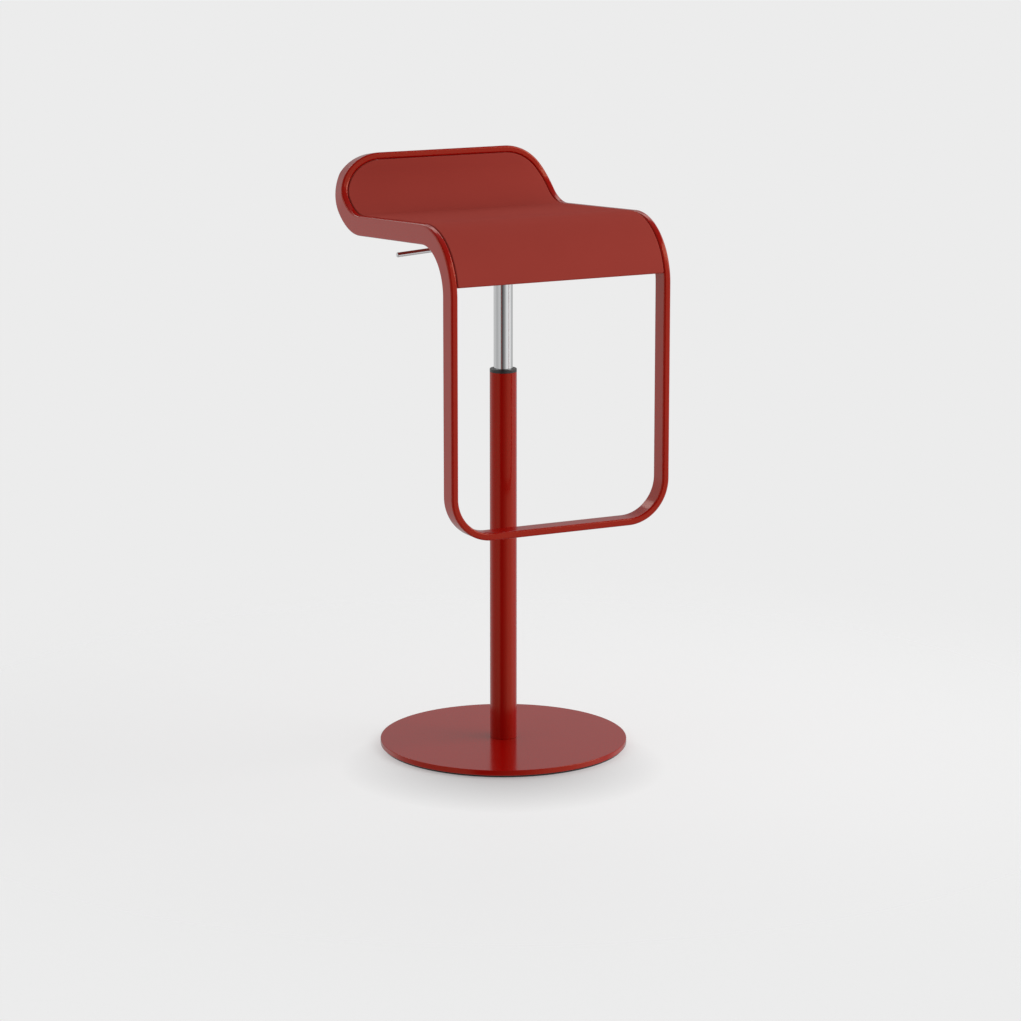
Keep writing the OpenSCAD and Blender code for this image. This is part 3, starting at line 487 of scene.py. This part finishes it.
# %% Column and collar
low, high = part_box("column_tube")
column_r, column_foot, column_top = high[0], low[2], high[2]
COLUMN_WALL, BUSH_PLAY, CYLINDER_PLAY = 2.5 * MM, 0.03 * MM, 0.05 * MM
bore_r = column_r - COLUMN_WALL
bush_r = bore_r - BUSH_PLAY
keep("lacquered_column", turned(rounded([
    (bore_r, column_foot, 0), (column_r, column_foot, 0.4 * MM), (column_r, column_top, 0.5 * MM),
    (bore_r, column_top, 0.3 * MM)]), 128), powder_coat, "base", "lacquer", "column_tube")
low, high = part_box("guide_bush")
sleeve_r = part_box("gas_cylinder")[1][0] + CYLINDER_PLAY
keep("guide_bush_and_collar", turned(rounded([
    (sleeve_r, low[2], 0.4 * MM), (bush_r, low[2], 0.6 * MM), (bush_r, column_top, 0),
    (column_r, column_top, 0.2 * MM), (column_r, high[2], 1.2 * MM), (sleeve_r, high[2], 0.6 * MM)]), 128),
    small_finish["moulded_black_nylon"], "base", "nylon", "guide_bush")

# %% [markdown]
# ## The seat line
# The footrest, the seat's rim and the back's rim are one closed loop of flat tube, and the seat panel
# lies inside it. Both follow one line when seen from the side: up the legs, round the front bend, along
# the seat, round the rear bend and up the back. A tube could be bent in Blender with a Curve modifier or
# modelled section by section. It is easier to draw loop and panel flat, as a sheet-metal worker does, and
# then to wrap the flat drawing onto the line. The line's lengths, radii and angles are those of the
# measured model.

# %% Lengths of the seat line
LEGS_Y, FOOTREST_Z, LEG = -188 * MM, 361 * MM, 350 * MM
FRONT_R, SEAT, SEAT_DROP = 96 * MM, 212 * MM, math.radians(3.5)
BACK_R, BACK_LEAN, BACK = 67.5 * MM, math.radians(9), 26.5 * MM
UPRIGHT = math.pi / 2
stretches = [   # length, and how far the line turns on it
    (LEG, 0.0), (FRONT_R * (UPRIGHT + SEAT_DROP), -(UPRIGHT + SEAT_DROP)), (SEAT, 0.0),
    (BACK_R * (UPRIGHT - BACK_LEAN + SEAT_DROP), UPRIGHT - BACK_LEAN + SEAT_DROP), (BACK, 0.0)]
LINE_LENGTH = sum(length for length, turn in stretches)
print("seat line:", round(LINE_LENGTH / MM, 1), "mm")


# %% Draw the seat line as a curve
def line_points(step):
    y, z, heading = LEGS_Y, FOOTREST_Z, UPRIGHT
    points = [(0.0, y, z)]
    for length, turn in stretches:
        pieces = max(1, round(length / step))
        for k in range(pieces):
            chord = length / pieces
            if turn:
                radius, angle = length / abs(turn), turn / pieces
                chord = 2 * radius * math.sin(abs(angle) / 2)
                heading += angle / 2
            y, z = y + chord * math.cos(heading), z + chord * math.sin(heading)
            if turn:
                heading += angle / 2
            points.append((0.0, y, z))
    return points


def poly_curve(name, points, closed):
    curve = bpy.data.curves.new(name, "CURVE")
    curve.dimensions = "3D"
    spline = curve.splines.new("POLY")
    spline.points.add(len(points) - 1)
    for point, place in zip(spline.points, points):
        point.co = (*place, 1)
    spline.use_cyclic_u = closed
    helper = bpy.data.objects.new(name, curve)
    bpy.context.scene.collection.objects.link(helper)
    return helper


seat_line = poly_curve("seat_line", line_points(1 * MM), closed=False)
loop_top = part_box("back_rim_tube")[1][2]
line_end = seat_line.data.splines[0].points[-1].co.z
print("line ends", round((loop_top - line_end) / MM, 3), "mm below the model's top")

# %% [markdown]
# ## Wrapping a flat drawing with Geometry Nodes
# The flat drawing has X across the seat, Y along the line and Z out of the surface. The node group
# samples the seat line at the length Y. It gets the place and the direction there, and the direction out
# of the surface is square to X and to that direction. Loop, panel, screws and weld seams all go through
# this one group, so they always fit each other.


# %% The wrapping group
def new_group(name, *sockets):
    group = bpy.data.node_groups.new(name, "GeometryNodeTree")
    for label, kind in sockets:
        group.interface.new_socket(label, in_out="INPUT", socket_type="NodeSocket" + kind)
    group.interface.new_socket("Geometry", in_out="OUTPUT", socket_type="NodeSocketGeometry")
    return group, add(group, "NodeGroupInput").outputs


def on_seat_line(tree, line_object):
    """The flat place split in X, Y and Z, the line sampled at Y, and the direction out of the surface."""
    line = add(tree, "GeometryNodeObjectInfo", {"Object": line_object})
    flat = add(tree, "ShaderNodeSeparateXYZ", {0: add(tree, "GeometryNodeInputPosition").outputs[0]})
    there = add(tree, "GeometryNodeSampleCurve",
                {"Curves": line.outputs["Geometry"], "Length": flat.outputs["Y"]},
                mode="LENGTH", use_all_curves=True)
    out_of = add(tree, "ShaderNodeVectorMath", {0: (1, 0, 0), 1: there.outputs["Tangent"]},
                 operation="CROSS_PRODUCT")
    return flat, there, out_of


wrap, given = new_group("wrap_on_seat_line", ("Geometry", "Geometry"), ("Seat line", "Object"))
flat, there, out_of = on_seat_line(wrap, given["Seat line"])
lifted = add(wrap, "ShaderNodeVectorMath",
             {0: out_of.outputs[0], 1: flat.outputs["Z"], 2: there.outputs["Position"]},
             operation="MULTIPLY_ADD")
across = add(wrap, "ShaderNodeCombineXYZ", {"X": flat.outputs["X"]})
landed = add(wrap, "ShaderNodeVectorMath", {0: lifted.outputs[0], 1: across.outputs[0]}, operation="ADD")
moved = add(wrap, "GeometryNodeSetPosition", {"Geometry": given["Geometry"], "Position": landed.outputs[0]})
add(wrap, "NodeGroupOutput", {"Geometry": moved.outputs[0]})
print("wrapping group has", len(wrap.nodes), "nodes")


# %% Both ends of every tree
def wrapped_on_line(tree, geometry, line_object):
    group = add(tree, "GeometryNodeGroup", {"Geometry": geometry, "Seat line": line_object}, node_tree=wrap)
    return group.outputs[0]


def end_tree(tree, geometry, finish):
    """Turns instances into real mesh, gives it its material and hands it to the tree's output."""
    whole = add(tree, "GeometryNodeRealizeInstances", {"Geometry": geometry})
    covered = add(tree, "GeometryNodeSetMaterial", {"Geometry": whole.outputs[0], "Material": finish})
    add(tree, "NodeGroupOutput", {"Geometry": covered.outputs[0]})
    print(tree.name, "has", len(tree.nodes), "nodes")


# %% Turning a tree's result into a plain mesh
def grown(name, tree, start=None, **values):
    """Runs a tree on an object, with its inputs set by their identifiers, and returns the plain mesh."""
    host = bpy.data.objects.new(name, start or bpy.data.meshes.new(name))
    bpy.context.scene.collection.objects.link(host)
    modifier = host.modifiers.new(name, "NODES")
    modifier.node_group = tree
    for socket in tree.interface.items_tree:
        label = socket.name.lower().replace(" ", "_")
        if socket.in_out == "INPUT" and label in values:
            modifier[socket.identifier] = values.pop(label)
    if values:
        raise KeyError(f"{name} has no input called {', '.join(values)}")
    mesh = bpy.data.meshes.new_from_object(host.evaluated_get(bpy.context.evaluated_depsgraph_get()))
    host.modifiers.remove(modifier)
    bpy.data.objects.remove(host)
    return mesh


# %% [markdown]
# ## The loop
# A mandrel-bent rectangular tube with its ends welded and dressed flush, so it reads as one band without a
# joint. Drawn flat, it is a rectangle with rounded corners, tighter at the footrest than at the back, and
# the tube's section runs round it. The tree draws that rectangle, rounds it with Fillet Curve, sweeps the
# section along it with Curve to Mesh and wraps the result.

# %% The loop's tree
loop_tree, given = new_group(
    "bent_flat_tube", ("Geometry", "Geometry"), ("Seat line", "Object"), ("Section", "Object"),
    ("Width", "Float"), ("Length", "Float"), ("Foot radius", "Float"), ("Back radius", "Float"),
    ("Spacing", "Float"), ("Finish", "Material"))
box = add(loop_tree, "GeometryNodeCurvePrimitiveQuadrilateral",
          {"Width": given["Width"], "Height": given["Length"]})
corner_place = add(loop_tree, "GeometryNodeInputPosition")
height = add(loop_tree, "ShaderNodeSeparateXYZ", {0: corner_place.outputs[0]})
at_back = add(loop_tree, "FunctionNodeCompare", {0: height.outputs["Y"], 1: 0.0}, operation="GREATER_THAN")
radius = add(loop_tree, "GeometryNodeSwitch",
             {0: at_back.outputs[0], 1: given["Foot radius"], 2: given["Back radius"]}, input_type="FLOAT")
eased = add(loop_tree, "GeometryNodeFilletCurve",
            {"Curve": box.outputs[0], "Count": 48, "Radius": radius.outputs[0]}, mode="POLY")
even = add(loop_tree, "GeometryNodeResampleCurve", {"Curve": eased.outputs[0], "Length": given["Spacing"]},
           mode="LENGTH")
flat_normals = add(loop_tree, "GeometryNodeSetCurveNormal", {"Curve": even.outputs[0]}, mode="Z_UP")
half_length = add(loop_tree, "ShaderNodeMath", {0: given["Length"], 1: 0.5}, operation="MULTIPLY")
lift = add(loop_tree, "ShaderNodeCombineXYZ", {"Y": half_length.outputs[0]})
shifted = add(loop_tree, "GeometryNodeSetPosition",
              {"Geometry": flat_normals.outputs[0], "Offset": lift.outputs[0]})
section = add(loop_tree, "GeometryNodeObjectInfo", {"Object": given["Section"]})
swept = add(loop_tree, "GeometryNodeCurveToMesh",
            {"Curve": shifted.outputs[0], "Profile Curve": section.outputs["Geometry"]})
end_tree(loop_tree, wrapped_on_line(loop_tree, swept.outputs[0], given["Seat line"]), given["Finish"])


# %% Make the loop
def outward(mesh):
    """Turns all faces of a closed mesh outwards, after merging doubled points."""
    form = bmesh.new()
    form.from_mesh(mesh)
    bmesh.ops.remove_doubles(form, verts=form.verts, dist=1e-6)
    bmesh.ops.recalc_face_normals(form, faces=form.faces)
    form.to_mesh(mesh)
    form.free()
    return mesh


LOOP_W, TUBE_W, TUBE_D, TUBE_EDGE = 352 * MM, 10.5 * MM, 29.5 * MM, 3 * MM
FOOT_CORNER, BACK_CORNER = 65 * MM, 71 * MM
section_corners = [(x, y, TUBE_EDGE) for x, y in ((0, 0), (-TUBE_W, 0), (-TUBE_W, TUBE_D), (0, TUBE_D))]
tube_section = poly_curve("tube_section", [(p.x, p.y, 0) for p in rounded(section_corners, 6)], closed=True)
loop_mesh = outward(grown("loop", loop_tree, seat_line=seat_line, section=tube_section, width=LOOP_W,
                          length=LINE_LENGTH, foot_radius=FOOT_CORNER, back_radius=BACK_CORNER,
                          spacing=3 * MM, finish=powder_coat))
keep("rim_loop", loop_mesh, powder_coat, "seat", "lacquer", "footrest_tube", "back_rim_tube")
reach = [[round(f(v.co[i] for v in loop_mesh.vertices) / MM, 1) for i in range(3)] for f in (min, max)]
print("loop spans", reach, "mm")

# %% [markdown]
# ## The seat panel
# Thin beech veneers, glued and pressed in a heated mould, make one shell that is seat and back. It is 10
# mm thick with its edges eased by about a millimetre, and a hair's breadth smaller than the loop all
# round. Subdividing a rough shell would blur those edges. Instead the flat panel is laid out as rings:
# the outline at each depth of the eased edge, drawn in a little at the faces. Each face is then filled
# with a net of small triangles, so that it can bend, and the same wrapping group sets it on the seat
# line.

# %% The flat panel
PANEL_T, GAP, EASE = 10 * MM, 0.8 * MM, 1.0 * MM
FRONT_EDGE = LEG + 17 * MM
half_w = LOOP_W / 2 - TUBE_W - GAP
panel_end = LINE_LENGTH - TUBE_W - GAP
back_corner = BACK_CORNER - TUBE_W - GAP


def panel_ring(inset, spacing=4 * MM):
    """The panel's outline drawn in by inset, with the same number of points for every inset."""
    ring, front_corner = [], 2.5 * MM
    for side, y, radius in ((1, FRONT_EDGE, front_corner), (1, panel_end, back_corner),
                            (-1, panel_end, back_corner), (-1, FRONT_EDGE, front_corner)):
        towards = 1 if y == panel_end else -1
        start = {(1, -1): -90, (1, 1): 0, (-1, 1): 90, (-1, -1): 180}[side, towards]
        turns = 6 if radius == front_corner else 30
        for k in range(turns + 1):
            a = math.radians(start + 90 * k / turns)
            ring.append(Vector((side * (half_w - radius) + (radius - inset) * math.cos(a),
                                y - towards * radius + (radius - inset) * math.sin(a))))
    even = []
    for here, ahead in zip(ring, ring[1:] + ring[:1]):
        cuts = max(1, round((ahead - here).length / spacing)) if (ahead - here).length > 3 * spacing else 1
        even += [here.lerp(ahead, k / cuts) for k in range(cuts)]
    return even


def layered(rings):
    """Joins rings of equal length, each with its depth, into a band, and fills both ends."""
    form = bmesh.new()
    rows = [[form.verts.new((p.x, p.y, depth)) for p in ring] for ring, depth in rings]
    for upper, lower in zip(rows, rows[1:]):
        for k in range(len(upper)):
            n = (k + 1) % len(upper)
            form.faces.new((upper[k], upper[n], lower[n], lower[k]))
    for (ring, depth), row in ((rings[0], rows[0]), (rings[-1], rows[-1])):
        step, clear = 5 * MM, 2.5 * MM
        xs, ys = [p.x for p in ring], [p.y for p in ring]
        net = []
        for i in range(int((max(xs) - min(xs)) / step) + 1):
            for j in range(int((max(ys) - min(ys)) / step) + 1):
                point = Vector((min(xs) + (i + 0.5) * step, min(ys) + (j + 0.5) * step))
                if inside(point, clear):
                    net.append(point)
        border = [(k, (k + 1) % len(ring)) for k in range(len(ring))]
        places, _, faces, origin, _, _ = geometry.delaunay_2d_cdt(ring + net, border, [], 1, 1e-7)
        verts = [row[o[0]] if o and o[0] < len(row) else form.verts.new((p.x, p.y, depth))
                 for p, o in zip(places, origin)]
        for face in faces:
            form.faces.new([verts[k] for k in face])
    bmesh.ops.recalc_face_normals(form, faces=form.faces)
    mesh = bpy.data.meshes.new("layered")
    form.to_mesh(mesh)
    form.free()
    return mesh


def inside(point, clear):
    """Whether a point lies on the flat panel, at least clear from its edge."""
    x, y = abs(point.x), point.y
    if x > half_w - EASE - clear or y < FRONT_EDGE + EASE + clear or y > panel_end - EASE - clear:
        return False
    over_x, over_y = x - (half_w - back_corner), y - (panel_end - back_corner)
    return over_x < 0 or over_y < 0 or math.hypot(over_x, over_y) < back_corner - EASE - clear


TONGUE, GROOVE = 0.65 * MM, 1.4 * MM      # below the groove's depth the edge reaches out, almost to the loop
eased_edge = [(EASE * 1.6, 0.0)]
for k in range(5):
    a = math.radians(90 * k / 4)
    eased_edge.append((EASE * (1 - math.sin(a)), EASE * (1 - math.cos(a))))
layers = [(panel_ring(inset), -depth) for inset, depth in eased_edge]
layers += [(panel_ring(0), -GROOVE), (panel_ring(-TONGUE), -GROOVE - 0.2 * MM)]
layers += [(panel_ring(inset - TONGUE), depth - PANEL_T) for inset, depth in reversed(eased_edge)]
flat_panel = layered(layers)
print("flat panel has", len(flat_panel.polygons), "faces")

# %% Wrap the panel
panel_tree, given = new_group("wrapped_panel", ("Geometry", "Geometry"), ("Seat line", "Object"),
                              ("Finish", "Material"))
end_tree(panel_tree, wrapped_on_line(panel_tree, given["Geometry"], given["Seat line"]), given["Finish"])
panel_mesh = outward(grown("panel", panel_tree, flat_panel, seat_line=seat_line, finish=ply_lacquer))
keep("formed_seat_panel", panel_mesh, ply_lacquer, "seat", "panel", "seat_panel")

# %% [markdown]
# ## Gas cylinder and lever
# The cylinder is a ground and chromed tube, closed to a rolled lip below and narrowed to a taper at its
# top, where it wedges into the seat's socket. The lever's rod is cut from bright bar and its end is
# rounded over. The rod is turned standing up, as everything turned is, and its mesh is then laid along
# its real direction.

# %% Gas cylinder
low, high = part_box("gas_cylinder")
tube_r, tube_z, tube_top = high[0], low[2], high[2]
taper_z, top_r, lip_r, wall = tube_top - 46 * MM, tube_r - 0.7 * MM, 8 * MM, 2 * MM
button_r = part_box("valve_button")[1][0] + 0.05 * MM
under_top, above_lip = tube_top - 6 * MM, tube_z + 4 * MM
keep("chromed_cylinder", turned(rounded([
    (lip_r, tube_z, 0.3 * MM), (tube_r, tube_z, 1.0 * MM), (tube_r, taper_z, 0),
    (top_r, tube_top, 0.8 * MM), (button_r, tube_top, 0.2 * MM), (button_r, under_top, 0),
    (tube_r - wall, under_top, 0), (tube_r - wall, above_lip, 0), (lip_r, above_lip, 0)]), 128),
    chrome_plate, "seat", "chrome", "gas_cylinder")

# %% Release lever
low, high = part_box("release_lever")
ROD_R, DROOP = 3.5 * MM, math.radians(3.9)
tip = Vector((low[0] + ROD_R * math.sin(DROOP), 0, low[2] + ROD_R * math.cos(DROOP)))
rod_length = (high[0] - low[0] - 2 * ROD_R * math.sin(DROOP)) / math.cos(DROOP)
rod_corners = [(0, 0, 0), (ROD_R, 0, 1.6 * MM), (ROD_R, rod_length, 0.3 * MM), (0, rod_length, 0)]
rod_mesh = turned(rounded(rod_corners, steps=6), 64)
along_rod = Vector((math.cos(DROOP), 0, math.sin(DROOP)))
turn = along_rod.to_track_quat("Z", "Y").to_matrix().to_4x4()
turn.translation = tip
rod_mesh.transform(turn)
keep("lever_rod", rod_mesh, chrome_plate, "lever", "chrome", "release_lever")
print("lever rod is", round(rod_length / MM, 1), "mm long")

# %% [markdown]
# ## Cut and pressed steel under the seat
# The tray, the rails, the ledges and the tabs are cut from plate, and the taper socket and the rocker are
# machined. All of them leave the shop with their edges broken. Modelled again by hand, they could drift
# from the measured shapes. So each starts as a copy of the frame's own mesh: doubled points are merged,
# flat faces are joined again from their triangles, and the outward edges are bevelled by 0.2 to 0.4 mm.
# Hollow corners stay as they are, since a bevel there would add metal where a neighbour sits. Weighted
# normals keep the flats flat.

# %% Broken edges on copies
FLAT_WITHIN, BREAK_FROM, SHARP_AFTER = math.radians(0.5), math.radians(35), math.radians(50)


def edges_broken(node, width):
    form = bmesh.new()
    form.from_mesh(frame["nodes"][node].data)
    bmesh.ops.remove_doubles(form, verts=form.verts, dist=1e-6)
    bmesh.ops.dissolve_limit(form, angle_limit=FLAT_WITHIN, verts=form.verts, edges=form.edges)
    sharp = [e for e in form.edges if e.is_manifold and e.calc_face_angle() > BREAK_FROM]
    bmesh.ops.bevel(form, geom=[e for e in sharp if e.is_convex], offset=width, offset_type="OFFSET",
                    segments=2, profile=0.5, affect="EDGES", clamp_overlap=True)
    mesh = bpy.data.meshes.new(node)
    form.to_mesh(mesh)
    form.free()
    mesh.shade_smooth()
    mesh.set_sharp_from_angle(angle=SHARP_AFTER)
    host = bpy.data.objects.new(node, mesh)
    bpy.context.scene.collection.objects.link(host)
    host.modifiers.new("weighted", "WEIGHTED_NORMAL").keep_sharp = True
    flats = bpy.data.meshes.new_from_object(host.evaluated_get(bpy.context.evaluated_depsgraph_get()))
    bpy.data.objects.remove(host)
    return flats


EDGE_BREAKS = {   # node: name of the piece, edge in mm, finish, slot
    "mechanism_tray": ("pressed_tray", 0.4, small_finish["black_phosphated_steel"], "dark_steel"),
    "taper_socket": ("tapered_socket", 0.4, small_finish["black_phosphated_steel"], "dark_steel"),
    "lever_bracket": ("two_eared_bracket", 0.25, small_finish["black_phosphated_steel"], "dark_steel"),
    "lever_rocker": ("milled_rocker", 0.35, small_finish["black_phosphated_steel"], "dark_steel"),
    "pivot_pin": ("headed_pivot_pin", 0.2, small_finish["bright_zinc_plate"], "zinc_steel"),
    "front_rail": ("front_cross_rail", 0.4, powder_coat, "lacquer"),
    "rear_rail": ("rear_cross_rail", 0.4, powder_coat, "lacquer"),
    "front_ledges": ("curved_front_ledges", 0.3, powder_coat, "lacquer"),
    "back_tabs": ("flat_back_tabs", 0.3, powder_coat, "lacquer"),
}
for node, (name, width, finish, slot_name) in EDGE_BREAKS.items():
    keep(name, edges_broken(node, width * MM), finish, frame["nodes"][node]["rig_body"], slot_name, node)

# %% [markdown]
# ## Screws
# Twelve pan-head screws hold the seat together: four M6 through the tray, four M5 from the rails into the
# panel, and four M4 at the ledges and the tabs. They could be copied and turned by hand, but they all sit
# square to the seat line, so a tree places them: at each point of a flat drawing it puts one detailed
# screw, turned to the line's direction and spun by a seeded chance angle, since a fitter never lines up
# the sockets.

# %% One detailed screw
def socket_screw(d, length):
    """Pan-head screw, shank up, with its head's underside at Z = 0 and a six-sided socket in the head."""
    head_r, head_h, key_r = 0.95 * d, 0.6 * d, 0.3 * d
    socket = [Vector((0, 0.08 * d - head_h / 2)), Vector((key_r, -head_h / 2)),
              Vector((key_r, 0.04 * d - head_h)), Vector((1.12 * key_r, -head_h))]
    outside = rounded([(1.12 * key_r, -head_h, 0), (head_r, -head_h, 0.24 * d), (head_r, 0, 0.06 * d),
                       (d / 2, 0, 0), (d / 2, length, 0.12 * d), (0, length, 0)])
    mesh = turned(socket + outside[1:], 48, six_sided=(1, 2))
    model = bpy.data.objects.new("socket_screw", mesh)
    bpy.context.scene.collection.objects.link(model)
    return model


along_seat = LEG + FRONT_R * (UPRIGHT + SEAT_DROP)
seat_y = LEGS_Y + FRONT_R * (1 - math.cos(UPRIGHT + SEAT_DROP))
over_column = along_seat - seat_y / math.cos(SEAT_DROP)
RAIL_SHIFT, TRAY_SCREW_X, PANEL_SCREW_X, TAB_X = 60 * MM, 42 * MM, 100 * MM, 60 * MM
RAILS = [over_column - RAIL_SHIFT, over_column + RAIL_SHIFT]
RAIL_T, TAB_T, TRAY_T, INSERT, TAB_W = 5 * MM, 3 * MM, 3 * MM, 8 * MM, 16 * MM
inner_w = LOOP_W / 2 - TUBE_W
ledge_at, tab_at = FRONT_EDGE + 22 * MM, LINE_LENGTH - TUBE_W - TAB_W / 2
under_rail, under_tray, under_tab = -PANEL_T - RAIL_T, -PANEL_T - RAIL_T - TRAY_T, -PANEL_T - TAB_T
# node: diameter, length, and where on the flat drawing each screw's head bears
SCREWS = {
    "tray_screws": (6 * MM, TRAY_T + RAIL_T,
                    [(x, s, under_tray) for s in RAILS for x in (-TRAY_SCREW_X, TRAY_SCREW_X)]),
    "panel_screws": (5 * MM, RAIL_T + INSERT - MM,
                     [(x, s, under_rail) for s in RAILS for x in (-PANEL_SCREW_X, PANEL_SCREW_X)]),
    "edge_screws": (4 * MM, TAB_T + INSERT - MM,
                    [(side * (inner_w - TAB_W / 2), ledge_at, under_tab) for side in (-1, 1)]
                    + [(side * TAB_X, tab_at, under_tab) for side in (-1, 1)]),
}
print("the rails lie at", [round(s / MM, 1) for s in RAILS], "mm along the line")

# %% The tree that places screws
screw_tree, given = new_group("screws_along_line", ("Geometry", "Geometry"), ("Seat line", "Object"),
                              ("Screw", "Object"), ("Seed", "Int"), ("Finish", "Material"))
flat, there, out_of = on_seat_line(screw_tree, given["Seat line"])
square = add(screw_tree, "FunctionNodeAxesToRotation", {0: out_of.outputs[0], 1: (1, 0, 0)},
             primary_axis="Z", secondary_axis="X")
chance = add(screw_tree, "FunctionNodeRandomValue", {3: math.tau, 8: given["Seed"]}, data_type="FLOAT")
spin = add(screw_tree, "FunctionNodeAxisAngleToRotation", {"Axis": (0, 0, 1), "Angle": chance.outputs[1]})
spun = add(screw_tree, "FunctionNodeRotateRotation", {0: square.outputs[0], 1: spin.outputs[0]},
           rotation_space="LOCAL")
model = add(screw_tree, "GeometryNodeObjectInfo", {"Object": given["Screw"]})
placed = add(screw_tree, "GeometryNodeInstanceOnPoints", {
    "Points": given["Geometry"], "Instance": model.outputs["Geometry"], "Rotation": spun.outputs[0]})
end_tree(screw_tree, wrapped_on_line(screw_tree, placed.outputs[0], given["Seat line"]), given["Finish"])

for seed, (node, (d, length, places)) in enumerate(SCREWS.items(), start=1):
    spots = bpy.data.meshes.new(node)
    spots.from_pydata(places, [], [])
    screw = socket_screw(d, length)
    mesh = grown(node, screw_tree, spots, seat_line=seat_line, screw=screw, seed=seed,
                 finish=small_finish["bright_zinc_plate"])
    bpy.data.objects.remove(screw)
    keep(node.replace("screws", "socket_screws"), mesh, small_finish["bright_zinc_plate"], "seat",
         "zinc_steel", node)

# %% [markdown]
# ## Weld beads
# The rails, the ledges and the tabs are welded to the loop before it is coated. A bead is a rope of
# overlapping ripples, about 3 mm wide, one ripple a millimetre. The tree takes the seams as lines on the
# flat drawing, wraps them, and sweeps a small circle along them whose size swells with each ripple and
# tapers off at both ends.

# %% The tree that lays beads
bead_tree, given = new_group("weld_beads", ("Geometry", "Geometry"), ("Seat line", "Object"),
                             ("Radius", "Float"), ("Ripple", "Float"), ("Finish", "Material"))
seams = add(bead_tree, "GeometryNodeMeshToCurve", {0: given["Geometry"]})
fine = add(bead_tree, "GeometryNodeResampleCurve", {"Curve": seams.outputs[0], "Length": 0.25 * MM},
           mode="LENGTH")
wrapped_seams = wrapped_on_line(bead_tree, fine.outputs[0], given["Seat line"])
travelled = add(bead_tree, "GeometryNodeSplineParameter")
whole_seam = add(bead_tree, "GeometryNodeSplineLength")
left = add(bead_tree, "ShaderNodeMath", {0: whole_seam.outputs["Length"], 1: travelled.outputs["Length"]},
           operation="SUBTRACT")
nearest = add(bead_tree, "ShaderNodeMath", {0: travelled.outputs["Length"], 1: left.outputs[0]},
              operation="MINIMUM")
taper = add(bead_tree, "ShaderNodeMapRange", {0: nearest.outputs[0], 1: 0.0, 2: 1.5 * MM, 3: 0.35, 4: 1.0},
            interpolation_type="SMOOTHSTEP")
beats = add(bead_tree, "ShaderNodeMath", {0: travelled.outputs["Length"], 1: given["Ripple"]},
            operation="DIVIDE")
phase = add(bead_tree, "ShaderNodeMath", {0: beats.outputs[0], 1: math.tau}, operation="MULTIPLY")
wave = add(bead_tree, "ShaderNodeMath", {0: phase.outputs[0]}, operation="SINE")
swell = add(bead_tree, "ShaderNodeMath", {0: wave.outputs[0], 1: 0.08, 2: 1.0}, operation="MULTIPLY_ADD")
size = add(bead_tree, "ShaderNodeMath", {0: swell.outputs[0], 1: taper.outputs[0]}, operation="MULTIPLY")
circle = add(bead_tree, "GeometryNodeCurvePrimitiveCircle", {"Resolution": 12, "Radius": given["Radius"]})
rope = add(bead_tree, "GeometryNodeCurveToMesh", {
    "Curve": wrapped_seams, "Profile Curve": circle.outputs[0], "Scale": size.outputs[0],
    "Fill Caps": True})
end_tree(bead_tree, rope.outputs[0], given["Finish"])

RAIL_SEAM, TAB_SEAM = 15 * MM, 6 * MM      # half the length of a seam
seam_points = []
for side in (-1, 1):
    for s, half_seam, depth in ((RAILS[0], RAIL_SEAM, under_rail), (RAILS[1], RAIL_SEAM, under_rail),
                                (ledge_at, TAB_SEAM, under_tab)):
        seam_points += [(side * inner_w, s - half_seam, depth), (side * inner_w, s + half_seam, depth)]
    seam_points += [(side * TAB_X + x, LINE_LENGTH - TUBE_W, under_tab) for x in (-TAB_SEAM, TAB_SEAM)]
seam_lines = bpy.data.meshes.new("seams")
seam_lines.from_pydata(seam_points, [(k, k + 1) for k in range(0, len(seam_points), 2)], [])
beads = outward(grown("beads", bead_tree, seam_lines, seat_line=seat_line, radius=1.5 * MM, ripple=1.0 * MM,
                      finish=powder_coat))
keep("weld_beads", beads, powder_coat, "seat", "lacquer")

# %% Close the lesson
bpy.data.objects.remove(seat_line)
bpy.data.objects.remove(tube_section)
